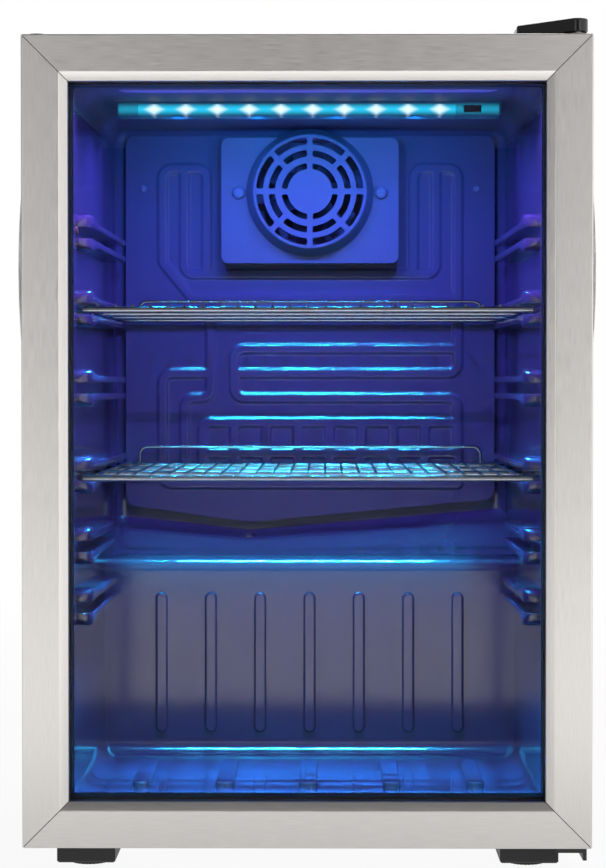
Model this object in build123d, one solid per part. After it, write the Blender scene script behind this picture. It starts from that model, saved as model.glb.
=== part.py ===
from build123d import *
import math
import os

# Compact glass-door fridge. Millimetres; X to the right, -Y out of the door's face, Z up from the floor.

# Overall sizes
CABINET_WIDTH = 445.0
OVERALL_DEPTH = 500.0
DOOR_HEIGHT = 635.0
DOOR_BOTTOM = 28.0

# Clearances shared by neighbouring pieces
FIT_GAP = 0.1
LOOSE_GAP = 0.3
PIN_PLAY = 0.05

# How far cutters and roots run past the faces that they meet, and how round a screw's head is
CUT_PAST = 1.0
SCREW_HEAD_ROUND = 0.8

# Door
DOOR_THICKNESS = 40.0
TRIM_SHEET = 1.0
TRIM_FACE = 29.0
TRIM_BEVEL = 7.0
TRIM_RETURN = 30.0
MITRE_GAP = 0.3
GLASS_THICKNESS = 4.0
GLASS_SPACE = 12.0
GLASS_LAP = 10.0
SPACER_WIDTH = 7.0
SPACER_SETBACK = 1.0
GASKET_THICKNESS = 9.7
GASKET_INSET = 16.0
GASKET_WIDTH = 20.0
DART_WIDTH = 3.6
DART_DEPTH = 5.5
DART_INSET = 25.0
MAGNET_INSET = 29.0
MAGNET_WIDTH = 4.6
MAGNET_THICKNESS = 2.6
MAGNET_END_GAP = 1.0

# Grip on each side of the door
GRIP_LENGTH = 136.0
GRIP_DROP = 182.6
GRIP_FRONT = 8.0
GRIP_DEPTH = 28.0
GRIP_REACH = 16.0
GRIP_WALL = 3.0
GRIP_LIP = 4.0
GRIP_END_WALL = 8.0
GRIP_BOW = 3.0

# Hinges
PIN_RADIUS = 3.0
PIN_INSET = 11.0
PIN_SETBACK = 18.0
PIN_REACH = 17.0
BUSH_WALL = 2.0
BUSH_LENGTH = 20.0
BUSH_FLANGE_RADIUS = 7.0
BUSH_FLANGE = 1.7
UPPER_GAP = 3.0
LOWER_GAP = 2.0
HINGE_PLATE = 3.0
HINGE_NOSE_RADIUS = 6.5
HINGE_PLATE_WIDTH = 46.0
HINGE_PLATE_DEPTH = 54.0
HINGE_COVER_HEIGHT = 7.5
HINGE_COVER_WALL = 1.5
HINGE_LIP_DROP = 6.0
HINGE_SCREW_RADIUS = 2.0
HINGE_SCREW_LENGTH = 12.0
HINGE_SCREW_HEAD = 4.0
HINGE_SCREW_HEAD_HEIGHT = 2.4
HINGE_SIDE_GAP = 8.0
HINGE_SETBACK = 6.0
HINGE_SCREW_SPREAD = 13.8
HINGE_SCREW_REAR = 16.2
HINGE_SCREW_FRONT = 10.8
LOWER_PLATE_INSET = 3.0
LOWER_PLATE_WIDTH = 15.5
LOWER_SCREW_SHIFT = 1.0
LOWER_SCREW_SETBACKS = [14.0, 32.0, 50.0]
LOWER_NOSE_WIDTH = 24.0

# Cabinet
WRAP_SHEET = 1.0
WRAP_FLANGE = 28.0
BASE_SHEET = 1.5
SIDE_WALL = 33.5
TOP_WALL = 32.0
FLOOR_WALL = 28.0
BACK_WALL = 59.0
CONDENSER_SPACE = 30.0
LINER_SHEET = 2.5
LINER_CORNER = 18.0
LINER_REAR_ROUND = 12.0
LINER_DRAFT = 0.8

# Hump over the machine bay, and the relief pressed into the liner
HUMP_DEPTH = 97.0
HUMP_HEIGHT = 182.0
HUMP_NOSE = 14.0
HUMP_WALL = 33.0
HUMP_ROOF = 31.0
GUTTER_RISE_LEFT = 38.0
GUTTER_RISE_DRAIN = 19.0
GUTTER_RISE_RIGHT = 44.0
DRAIN_X = -57.0
RIB_COUNT = 7
RIB_PITCH = 44.6
RIB_WIDTH = 11.0
RIB_HEIGHT = 4.0
RIB_ROUND = 2.4
RIB_BOTTOM = 22.0
RIB_TOP = 149.0
PAD_COUNT = 5
PAD_PITCH = 69.6
PAD_WIDTH = 15.0
PAD_RISE = 4.0
PAD_ROUND = 2.0
PAD_SETBACK = 74.0
PAD_LENGTH = 130.0

# Shelf rails and shelves
SHELF_LEVELS = [150.0, 200.0, 258.0, 329.0, 394.0, 456.0]
UPPER_SHELF_LEVEL = SHELF_LEVELS[4]
LOWER_SHELF_LEVEL = SHELF_LEVELS[2]
RAIL_REACH = 12.0
RAIL_ROUND = 9.6
RAIL_THICKNESS = 6.0
RAIL_SLOT = 9.0
RAIL_SETBACK = 42.0
RAIL_END_GAP = 20.0
SHELF_ROD = 2.5
SHELF_WIRE = 1.1
SHELF_WIRE_OVERHANG = 2.0
SHELF_LIP_ROD = 1.43
SHELF_LIP_INSET = 0.7
SHELF_WIRE_COUNT = 25
SHELF_SIDE_GAP = 3.0
SHELF_SETBACK = 20.0
SHELF_REAR_GAP = 16.0
SHELF_LIP = 14.0
SHELF_CROSS_RODS = 4
WELD_SINK = 0.4

# Cold plate
PLATE_WIDTH = 346.0
PLATE_TOP_GAP = 6.0
PLATE_SHEET = 1.5
PLATE_STANDOFF = 6.0
PLATE_FOOT_GAP = 9.0
PLATE_CORNER = 8.0
CHANNEL_WIDTH = 8.7
CHANNEL_RISE = 2.0
CHANNEL_BEND = 9.0
GRID_COLUMNS = 8
GRID_PITCH = 29.8
PLATE_SCREW_X = 156.0
PLATE_SCREW_DROP = 60.0
PLATE_SCREW_HEAD = 3.4
PLATE_SCREW_HEAD_HEIGHT = 1.8
SCREW_BITE = 1.0
BOSS_RADIUS = 6.0

# Lines of the channels: distances from the plate's middle, then drops below its top edge
CHANNEL_OUTER = 138.5
CHANNEL_MIDDLE = 118.0
CHANNEL_INNER = 97.0
CHANNEL_LOOP = 93.5
CHANNEL_SERPENTINE = 71.0
CHANNEL_GRID = 101.0
CHANNEL_BEVEL_RUN = 27.0
CHANNEL_TAIL = 10.0
CHANNEL_HEAD_DROP = 30.0
CHANNEL_BEVEL_DROP = 118.0
CHANNEL_FAN_DROP = 129.0
CHANNEL_LOW_DROP = 151.0
CHANNEL_RUN_DROPS = [199.0, 222.0, 245.0, 268.0]
CHANNEL_FOOT_DROP = 326.0

# Fan
FAN_DROP = 65.6
FAN_COVER_WIDTH = 164.4
FAN_COVER_HEIGHT = 116.0
FAN_COVER_DROP = 7.2
FAN_COVER_DEPTH = 22.0
FAN_COVER_WALL = 2.0
FAN_COVER_CORNER = 7.0
FAN_DOME_BASE = 59.0
FAN_DOME_FACE = 52.5
FAN_DOME_RISE = 18.0
FAN_SCREW_X = 66.0
FAN_SCREW_HEAD = 6.2
FAN_SCREW_HEAD_HEIGHT = 4.96
FAN_SCREW_RADIUS = 2.0
FAN_SLOT_RINGS = [(20.5, 26.0, 4), (32.0, 38.0, 8), (43.0, 49.5, 8)]
FAN_SPOKE = 5.0
FAN_THROAT_LAP = 0.5
FAN_BOSS_RADIUS = 5.0
FAN_POST_RADIUS = 4.0
FAN_STAKE_RADIUS = 3.2
FAN_STAKE = 1.2
FAN_GRILLE_GAP = 3.5
FAN_MOTOR_GAP = 1.5
BLADE_COUNT = 7
BLADE_RADIUS = 44.0
BLADE_PITCH_ANGLE = 35.0
BLADE_CHORD = 20.0
BLADE_SHEET = 1.6
BLADE_ROOT = 2.0
FAN_HUB_RADIUS = 18.0
FAN_HUB_DEPTH = 13.0
FAN_HUB_FACE = 2.0
FAN_HUB_ROUND = 3.0
FAN_SHAFT_RADIUS = 2.0
MOTOR_RADIUS = 20.0
MOTOR_DEPTH = 14.0
MOTOR_END_WALL = 3.0
MOTOR_ROUND = 2.0
FAN_BRACKET_SHEET = 2.0
FAN_BRACKET_ARM = 9.0
FAN_POST_X = 56.0
FAN_POST_Z = 40.0

# Light under the ceiling
LIGHT_LENGTH = 330.0
LIGHT_SETBACK = 144.0
LIGHT_DEPTH = 28.0
LIGHT_HEIGHT = 12.0
LIGHT_WALL = 2.0
LIGHT_POCKET_DEPTH = 16.8
LED_COUNT = 10
LED_PITCH = 27.1
LED_FIRST_X = -132.0
LED_SIZE = 5.0
LED_BOARD = 1.6
LENS_SHEET = 1.5
SWITCH_X = 140.0
SWITCH_WIDTH = 15.0
SWITCH_HEIGHT = 6.0
SWITCH_THICKNESS = 5.0
SWITCH_TILT = 8.0
SWITCH_PIVOT = 1.0
SWITCH_PIVOT_REACH = 1.5
SWITCH_SIDE_GAP = 1.5
SWITCH_FACE_SETBACK = 0.5
SWITCH_ROUND = 1.0
SWITCH_POCKET_DEPTH = 10.0

# Plug in the left wall
PLUG_RADIUS = 3.5
PLUG_HEAD = 1.6
PLUG_SHANK_RADIUS = 2.1
PLUG_SHANK_REACH = 4.0
PLUG_SETBACK = 40.0
PLUG_HEIGHT = 462.0

# Machine bay
COMPRESSOR_RADIUS = 50.0
COMPRESSOR_HEIGHT = 122.0
COMPRESSOR_FOOT = 2.5
COMPRESSOR_FOOT_WIDTH = 142.0
COMPRESSOR_FOOT_DEPTH = 96.0
COMPRESSOR_GAP = 12.0
COMPRESSOR_DOME = 25.0
DISCHARGE_RISE = 88.0
SUCTION_RISE = 70.0
SUCTION_STEP = 30.0
SUCTION_INSET = 40.0
SUCTION_ENTRY_RISE = 90.0
RELAY_WIDTH = 44.0
RELAY_REACH = 20.0
RELAY_SINK = 20.0
RELAY_RISE = 20.0
RELAY_HEIGHT = 54.0
RELAY_ROUND = 4.0
GROMMET_RADIUS = 10.0
GROMMET_HEIGHT = 14.0
STUD_RADIUS = 3.0
STUD_PROUD = 6.0
TRAY_WIDTH = 118.0
TRAY_DEPTH = 84.0
TRAY_HEIGHT = 20.0
TRAY_WALL = 1.8
TRAY_ROUND = 10.0
DRAIN_BORE = 4.5
DRAIN_WALL = 1.5
DRAIN_DROP = 24.0
DRAIN_SINK = 2.0
DRAIN_CLEAR = 10.0
LINE_RADIUS = 2.5
LINE_BEND = 16.0
PIPE_STUB = 4.0
PIPE_STUB_RADIUS = 4.0
PIPE_STUB_SPREAD = 14.0
CONDENSER_PASSES = 10
CONDENSER_MARGIN = 34.0
CONDENSER_CLEAR = 36.0
CONDENSER_WIRE = 0.8
CONDENSER_WIRE_PITCH = 20.0
CONDENSER_WIRE_OVERHANG = 12.0
CONDENSER_TOP_GAP = 27.0
RISER_SPACE = 60.0
DOWNCOMER_SPACE = 14.0
CLIP_HALF_WIDTH = 6.0
CLIP_SHEET = 2.0
CLIP_FOOT = 1.5
CLIP_FOOT_HALF = 10.0
DRIER_RADIUS = 9.0
DRIER_LENGTH = 90.0
DRIER_ROUND = 5.4
DRIER_SETBACK = 54.0
DRIER_DROP = 56.0
DRIER_NECK = 6.0
DRIER_NECK_ROOT = 4.0
DRIER_NECK_RADIUS = 3.25
DRIER_LEAD = 20.0
CONTROL_INSET = 12.0
CONTROL_WIDTH = 90.0
CONTROL_HEIGHT = 78.0
CONTROL_SETBACK = 24.0
CONTROL_FOOT_GAP = 2.0
THERMOSTAT_INSET = 31.5
THERMOSTAT_RISE = 46.8
THERMOSTAT_WIDTH = 40.0
THERMOSTAT_HEIGHT = 36.0
THERMOSTAT_DEPTH = 26.0
KNOB_RADIUS = 16.0
KNOB_DEPTH = 14.0
KNOB_GAP = 1.0
KNOB_ROUND = 3.0
KNOB_BAR_WIDTH = 5.0
KNOB_BAR_LENGTH = 25.6
KNOB_BAR_RISE = 4.0
KNOB_SHAFT = 3.0
KNOB_SHAFT_REACH = 10.0
GLAND_RADIUS = 8.0
GLAND_INSET = 16.0
GLAND_RISE = 54.6
GLAND_FLANGE_RADIUS = 11.2
GLAND_FLANGE = 3.0
GLAND_BORE = 3.6
GLAND_INSIDE = 6.0
GLAND_OUTSIDE = 8.0

# Feet
FOOT_BLOCK_WIDTH = 47.0
FOOT_BLOCK_DEPTH = 70.0
FOOT_BLOCK_INSET = 20.5
FOOT_BLOCK_SETBACK = 12.0
FOOT_BLOCK_CHAMFER = 1.5
FOOT_SCREW_INSET = 9.0
FOOT_SCREW_DEPTH = 8.0
FOOT_GAP = 5.0
FOOT_DISC_RADIUS = 15.5
FOOT_DISC_HEIGHT = 4.7
FOOT_STUD_RADIUS = 4.0
FOOT_STUD_GAP = 5.0
FOOT_RIBS = 30
FOOT_RIB_RADIUS = 0.8

# Planes and lines that follow from the sizes above
HALF_WIDTH = CABINET_WIDTH / 2
DOOR_TOP = DOOR_BOTTOM + DOOR_HEIGHT
DOOR_MIDDLE = DOOR_BOTTOM + DOOR_HEIGHT / 2
DOOR_FRONT = -OVERALL_DEPTH / 2
DOOR_BACK = DOOR_FRONT + DOOR_THICKNESS
REAR = OVERALL_DEPTH / 2
CABINET_FRONT = DOOR_BACK + GASKET_THICKNESS + LOOSE_GAP
CABINET_BACK = REAR - CONDENSER_SPACE
CABINET_BOTTOM = DOOR_BOTTOM - LOWER_GAP
CABINET_TOP = DOOR_TOP + UPPER_GAP
CAVITY_HALF = HALF_WIDTH - SIDE_WALL
CAVITY_FLOOR = CABINET_BOTTOM + FLOOR_WALL
CAVITY_CEILING = CABINET_TOP - TOP_WALL
CAVITY_BACK = CABINET_BACK - BACK_WALL
CAVITY_DEPTH = CAVITY_BACK - CABINET_FRONT
CAVITY_MIDDLE = (CAVITY_FLOOR + CAVITY_CEILING) / 2
DRAFT_SLOPE = math.tan(math.radians(LINER_DRAFT))
HUMP_FRONT = CAVITY_BACK - HUMP_DEPTH
HUMP_TOP = CAVITY_FLOOR + HUMP_HEIGHT
ROOF_FRONT = HUMP_FRONT + HUMP_NOSE
ROOF_BACK = CAVITY_BACK + 2 * LINER_SHEET
BAY_FRONT = HUMP_FRONT + HUMP_WALL
BAY_TOP = HUMP_TOP - HUMP_ROOF
BASE_TOP = CABINET_BOTTOM + BASE_SHEET
OPENING_INSET = TRIM_FACE + TRIM_BEVEL
POCKET_INSET = OPENING_INSET - GLASS_LAP
GLASS_FRONT = DOOR_FRONT + TRIM_BEVEL + TRIM_SHEET * math.sqrt(2) + FIT_GAP
SPACER_FRONT = GLASS_FRONT + GLASS_THICKNESS
INNER_GLASS_FRONT = SPACER_FRONT + GLASS_SPACE
POCKET_BACK = INNER_GLASS_FRONT + GLASS_THICKNESS
PIN_X = HALF_WIDTH - PIN_INSET
PIN_Y = DOOR_FRONT + PIN_SETBACK
BUSH_RADIUS = PIN_RADIUS + PIN_PLAY + BUSH_WALL
PLATE_BACK = CAVITY_BACK - PLATE_STANDOFF
PLATE_FRONT = PLATE_BACK - PLATE_SHEET
FAN_Z = CAVITY_CEILING - FAN_DROP
FAN_COVER_Z = FAN_Z - FAN_COVER_DROP
FAN_COVER_FRONT = PLATE_FRONT - CHANNEL_RISE - FAN_COVER_DEPTH
FAN_COVER_BACK = PLATE_FRONT
FAN_FACE = FAN_COVER_FRONT - FAN_DOME_RISE
SCREW_POINT = CAVITY_BACK + SCREW_BITE


def block(x0, x1, y0, y1, z0, z1):
    """Rectangular block between two opposite corners."""
    return Pos((x0 + x1) / 2, (y0 + y1) / 2, (z0 + z1) / 2) * Box(x1 - x0, y1 - y0, z1 - z0)


def slab(outline, front, back):
    """Flat piece whose outline is drawn in X and Z, between two depths."""
    plane = Plane(origin=(0, front, 0), x_dir=(1, 0, 0), z_dir=(0, -1, 0))
    return extrude(plane * outline, back - front, dir=(0, 1, 0))


def layer(outline, bottom, top):
    """Flat piece whose outline is drawn in X and Y, between two heights."""
    return extrude(Pos(0, 0, bottom) * outline, top - bottom, dir=(0, 0, 1))


def rod(start, end, radius):
    """Round bar between two points."""
    run = Vector(*end) - Vector(*start)
    bar = Cylinder(radius, run.length, align=(Align.CENTER, Align.CENTER, Align.MIN))
    return Plane(origin=start, z_dir=run) * bar


def bent_tube(points, radius, bend):
    """Round tube along straight runs joined by tangent bends."""
    path = FilletPolyline(*points, radius=bend)
    start = Plane(origin=path @ 0, z_dir=path % 0)
    return sweep(start * Circle(radius), path=path)


def screw(seat, outward, radius, length, head_radius, head_height):
    """Round-headed screw: the head stands outward from its seat, the shank goes the other way."""
    head = Cylinder(head_radius, head_height, align=(Align.CENTER, Align.CENTER, Align.MIN))
    head = fillet(head.edges().sort_by(Axis.Z)[-1], head_height * SCREW_HEAD_ROUND)
    shank = Cylinder(radius, length, align=(Align.CENTER, Align.CENTER, Align.MAX))
    return Plane(origin=seat, z_dir=outward) * (head + shank)


def door_ring(outer_inset, inner_inset, front, back):
    """Rectangular ring set in from the door's outline."""
    outer = Rectangle(CABINET_WIDTH - 2 * outer_inset, DOOR_HEIGHT - 2 * outer_inset)
    inner = Rectangle(CABINET_WIDTH - 2 * inner_inset, DOOR_HEIGHT - 2 * inner_inset)
    return slab(Pos(0, DOOR_MIDDLE) * (outer - inner), front, back)


def wall_half_width(depth):
    """Half the liner's inner width at a depth, which narrows with the draft."""
    return CAVITY_HALF - (depth - CABINET_FRONT) * DRAFT_SLOPE


def group(solids):
    """Separate solids that share one node."""
    return Compound(children=list(solids))


# Liner: one tapered box with the hump, rails, ribs and pads standing into it
def tapered_box(growth):
    """The liner's inside, or its outside when grown by the sheet, from the front opening to the back wall."""
    width = 2 * (CAVITY_HALF + growth)
    height = CAVITY_CEILING - CAVITY_FLOOR + 2 * growth
    mouth = Pos(0, CAVITY_MIDDLE) * RectangleRounded(width, height, LINER_CORNER + growth)
    plane = Plane(origin=(0, CABINET_FRONT, 0), x_dir=(-1, 0, 0), z_dir=(0, 1, 0))
    box = extrude(plane * mouth, CAVITY_DEPTH + growth, taper=LINER_DRAFT)
    return fillet(box.faces().sort_by(Axis.Y)[-1].edges(), LINER_REAR_ROUND + growth)


def hump(inset):
    """Raised block over the machine bay: upright face, round nose, and a roof that falls to the drain."""
    reach = HALF_WIDTH
    below = CABINET_BOTTOM
    nose_z = HUMP_TOP - HUMP_NOSE
    roof = HUMP_TOP - inset
    front_edge = Polygon(
        (-reach, below), (reach, below), (reach, roof), (DRAIN_X, roof), (-reach, roof), align=None
    )
    back_edge = Polygon(
        (-reach, below),
        (reach, below),
        (reach, roof + GUTTER_RISE_RIGHT),
        (DRAIN_X, roof + GUTTER_RISE_DRAIN),
        (-reach, roof + GUTTER_RISE_LEFT),
        align=None,
    )
    front_plane = Plane(origin=(0, ROOF_FRONT, 0), x_dir=(1, 0, 0), z_dir=(0, -1, 0))
    back_plane = Plane(origin=(0, ROOF_BACK, 0), x_dir=(1, 0, 0), z_dir=(0, -1, 0))
    body = loft([front_plane * front_edge, back_plane * back_edge], ruled=True)
    body += block(-reach, reach, HUMP_FRONT + inset, ROOF_FRONT, below, nose_z)
    body += rod((-reach, ROOF_FRONT, nose_z), (reach, ROOF_FRONT, nose_z), HUMP_NOSE - inset)
    return body


def shelf_rails():
    """Pairs of ledges on both walls at every shelf level; the shelf's edge rod runs between them."""
    start = CABINET_FRONT + RAIL_SETBACK
    rails = []
    for rise in SHELF_LEVELS:
        level = CAVITY_FLOOR + rise
        above_hump = level > HUMP_TOP + max(GUTTER_RISE_LEFT, GUTTER_RISE_RIGHT)
        end = CAVITY_BACK - RAIL_END_GAP if above_hump else HUMP_FRONT - RAIL_END_GAP
        inner = wall_half_width(start) - RAIL_REACH
        for side in (-1, 1):
            middle = (side * (inner + HALF_WIDTH) / 2, (start + end) / 2)
            plan = Pos(*middle) * RectangleRounded(HALF_WIDTH - inner, end - start, RAIL_ROUND)
            rails.append(layer(plan, level - RAIL_THICKNESS, level))
            rails.append(layer(plan, level + RAIL_SLOT, level + RAIL_SLOT + RAIL_THICKNESS))
    return rails


def hump_ribs():
    """Upright ribs pressed out of the hump's face."""
    bottom = CAVITY_FLOOR + RIB_BOTTOM
    top = CAVITY_FLOOR + RIB_TOP
    first = -(RIB_COUNT - 1) / 2 * RIB_PITCH
    ribs = []
    for index in range(RIB_COUNT):
        place = Pos(first + index * RIB_PITCH, (bottom + top) / 2)
        outline = place * SlotOverall(top - bottom, RIB_WIDTH, rotation=90)
        rib = slab(outline, HUMP_FRONT - RIB_HEIGHT, HUMP_FRONT + CUT_PAST)
        ribs.append(fillet(rib.faces().sort_by(Axis.Y)[0].edges(), RIB_ROUND))
    return ribs


def floor_pads():
    """Long low pads on the floor that bottles stand on."""
    start = CABINET_FRONT + PAD_SETBACK
    first = -(PAD_COUNT - 1) / 2 * PAD_PITCH
    top = CAVITY_FLOOR + (PAD_SETBACK + PAD_LENGTH) * DRAFT_SLOPE + PAD_RISE
    pads = []
    for index in range(PAD_COUNT):
        middle = (first + index * PAD_PITCH, start + PAD_LENGTH / 2)
        outline = Pos(*middle) * SlotOverall(PAD_LENGTH, PAD_WIDTH, rotation=90)
        pad = layer(outline, CAVITY_FLOOR - CUT_PAST, top)
        pads.append(fillet(pad.faces().sort_by(Axis.Z)[-1].edges(), PAD_ROUND))
    return pads


def back_bosses():
    """Short bosses on the back wall that the cold plate and the fan cover are screwed to."""
    bosses = []
    for x, z in back_screw_places:
        bosses.append(rod((x, PLATE_BACK, z), (x, CAVITY_BACK + CUT_PAST, z), BOSS_RADIUS))
    return bosses


def plate_screw_places():
    """X and Z of the cold plate's own screws."""
    height = CAVITY_CEILING - PLATE_SCREW_DROP
    return [(-PLATE_SCREW_X, height), (PLATE_SCREW_X, height)]


def fan_screw_places():
    """X and Z of the fan cover's screws."""
    return [(-FAN_SCREW_X, FAN_Z), (FAN_SCREW_X, FAN_Z)]


def screw_bores(places, front, radius):
    """Round cutters behind a set of screws, from a depth to the screws' points."""
    return [rod((x, front, z), (x, SCREW_POINT, z), radius) for x, z in places]


def roof_share(depth):
    """How far a depth lies along the hump's sloping roof, 0 at the nose and 1 at the back."""
    return (depth - ROOF_FRONT) / (ROOF_BACK - ROOF_FRONT)


def plug_place():
    """Where the left wall's plug sits."""
    depth = CABINET_FRONT + PLUG_SETBACK
    return (-wall_half_width(depth), depth, CAVITY_FLOOR + PLUG_HEIGHT)


def drain_place():
    """Top of the drain: the lowest point of the gutter, just in front of the cold plate's foot."""
    depth = PLATE_FRONT - 2 * (DRAIN_BORE + DRAIN_WALL)
    return (DRAIN_X, depth, HUMP_TOP + GUTTER_RISE_DRAIN * roof_share(depth))


def suction_points():
    """Route of the suction line, from the compressor up through the foam to the cold plate."""
    x = PLATE_WIDTH / 2 - SUCTION_INSET
    bay_y = CABINET_BACK - SUCTION_INSET
    entry_z = HUMP_TOP + SUCTION_ENTRY_RISE
    start_x = DRAIN_X + COMPRESSOR_RADIUS + PIPE_STUB
    start = (start_x, compressor_y() - PIPE_STUB_SPREAD, BASE_TOP + SUCTION_RISE)
    return [
        start,
        (x, start[1], start[2]),
        (x, bay_y, start[2] + SUCTION_STEP),
        (x, bay_y, entry_z),
        (x, PLATE_BACK, entry_z),
    ]


def compressor_y():
    """Depth of the compressor's middle, in the machine bay."""
    return BAY_FRONT + WRAP_SHEET + COMPRESSOR_GAP + COMPRESSOR_RADIUS


back_screw_places = plate_screw_places() + fan_screw_places()
cavity = tapered_box(0) - hump(0)
for piece in shelf_rails() + hump_ribs() + floor_pads() + back_bosses():
    cavity -= piece

rim_half = HALF_WIDTH - WRAP_FLANGE - LOOSE_GAP
front_rim = block(
    -rim_half,
    rim_half,
    CABINET_FRONT,
    CABINET_FRONT + LINER_SHEET,
    CAVITY_FLOOR - LINER_SHEET,
    CABINET_TOP - WRAP_FLANGE - LOOSE_GAP,
)
liner_space = tapered_box(LINER_SHEET) - hump(LINER_SHEET) + front_rim
drain_x, drain_y, drain_z = drain_place()
drain_radius = DRAIN_BORE + DRAIN_WALL
drain_foot = BAY_TOP - DRAIN_DROP
drain_hole = rod(
    (drain_x, drain_y, drain_foot), (drain_x, drain_y, drain_z + DRAIN_CLEAR), drain_radius + FIT_GAP
)
suction_tube = bent_tube(suction_points(), LINE_RADIUS, LINE_BEND)
suction_hole = bent_tube(suction_points(), LINE_RADIUS + FIT_GAP, LINE_BEND)
plug_x, plug_y, plug_z = plug_place()
plug_end = plug_x - LINER_SHEET - PLUG_SHANK_REACH
plug_shank = rod((plug_end, plug_y, plug_z), (plug_x + CUT_PAST, plug_y, plug_z), PLUG_SHANK_RADIUS)
inner_liner = liner_space - cavity - drain_hole - suction_hole - plug_shank
for bore in screw_bores(back_screw_places, PLATE_BACK - CUT_PAST, FAN_SCREW_RADIUS):
    inner_liner -= bore

plug_head = rod((plug_x - CUT_PAST, plug_y, plug_z), (plug_x + PLUG_HEAD, plug_y, plug_z), PLUG_RADIUS)
wall_plug = plug_head & cavity
wall_plug += plug_shank

# Cabinet: folded wrap, base, back, and the step over the machine bay
cabinet_wrap = block(-HALF_WIDTH, HALF_WIDTH, CABINET_FRONT, CABINET_BACK, CABINET_BOTTOM, CABINET_TOP)
cabinet_wrap -= block(
    WRAP_SHEET - HALF_WIDTH,
    HALF_WIDTH - WRAP_SHEET,
    CABINET_FRONT + WRAP_SHEET,
    CABINET_BACK + CUT_PAST,
    CABINET_BOTTOM - CUT_PAST,
    CABINET_TOP - WRAP_SHEET,
)
cabinet_wrap -= block(
    WRAP_FLANGE - HALF_WIDTH,
    HALF_WIDTH - WRAP_FLANGE,
    CABINET_FRONT - CUT_PAST,
    CABINET_FRONT + WRAP_SHEET + CUT_PAST,
    CABINET_BOTTOM - CUT_PAST,
    CABINET_TOP - WRAP_FLANGE,
)

base_half = HALF_WIDTH - WRAP_SHEET - FIT_GAP
base_plate = block(
    -base_half, base_half, CABINET_FRONT + WRAP_SHEET + FIT_GAP, CABINET_BACK, CABINET_BOTTOM, BASE_TOP
)
base_lip_top = CAVITY_FLOOR - LINER_SHEET - LOOSE_GAP
base_plate += block(-rim_half, rim_half, CABINET_FRONT, CABINET_FRONT + WRAP_FLANGE, CABINET_BOTTOM, BASE_TOP)
base_plate += block(
    -rim_half, rim_half, CABINET_FRONT, CABINET_FRONT + WRAP_SHEET, CABINET_BOTTOM, base_lip_top
)

bay_half = HALF_WIDTH - WRAP_SHEET - FIT_GAP
machine_bay_panel = block(-bay_half, bay_half, BAY_FRONT, BAY_FRONT + WRAP_SHEET, BASE_TOP, BAY_TOP)
machine_bay_panel += block(-bay_half, bay_half, BAY_FRONT, CABINET_BACK, BAY_TOP - WRAP_SHEET, BAY_TOP)
machine_bay_panel -= drain_hole
machine_bay_panel -= suction_hole

back_panel = block(
    -bay_half,
    bay_half,
    CABINET_BACK - WRAP_SHEET,
    CABINET_BACK,
    BAY_TOP + FIT_GAP,
    CABINET_TOP - WRAP_SHEET - FIT_GAP,
)

foam_insulation = block(
    WRAP_SHEET - HALF_WIDTH,
    HALF_WIDTH - WRAP_SHEET,
    CABINET_FRONT + WRAP_SHEET,
    CABINET_BACK - WRAP_SHEET,
    BASE_TOP,
    CABINET_TOP - WRAP_SHEET,
)
foam_insulation -= liner_space
foam_insulation -= block(-HALF_WIDTH, HALF_WIDTH, BAY_FRONT, CABINET_BACK, CABINET_BOTTOM, BAY_TOP)
foam_insulation -= drain_hole
foam_insulation -= suction_hole
foam_insulation -= plug_shank
for bore in screw_bores(back_screw_places, CAVITY_BACK, FAN_SCREW_RADIUS + FIT_GAP):
    foam_insulation -= bore

drain_tube = rod((drain_x, drain_y, drain_foot), (drain_x, drain_y, drain_z - DRAIN_SINK), drain_radius)
drain_tube -= rod((drain_x, drain_y, drain_foot - CUT_PAST), (drain_x, drain_y, drain_z), DRAIN_BORE)

# Cold plate: a bonded sheet with raised refrigerant channels, on short bosses in front of the back wall
plate_half = PLATE_WIDTH / 2
plate_top = CAVITY_CEILING - CAVITY_DEPTH * DRAFT_SLOPE - PLATE_TOP_GAP
plate_roof = HUMP_TOP + PLATE_FOOT_GAP
plate_outline = Polygon(
    (-plate_half, plate_top),
    (-plate_half, plate_roof + GUTTER_RISE_LEFT * roof_share(PLATE_FRONT)),
    (DRAIN_X, plate_roof + GUTTER_RISE_DRAIN * roof_share(PLATE_FRONT)),
    (plate_half, plate_roof + GUTTER_RISE_RIGHT * roof_share(PLATE_FRONT)),
    (plate_half, plate_top),
    align=None,
)
plate_outline = fillet(plate_outline.vertices(), PLATE_CORNER)


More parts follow.
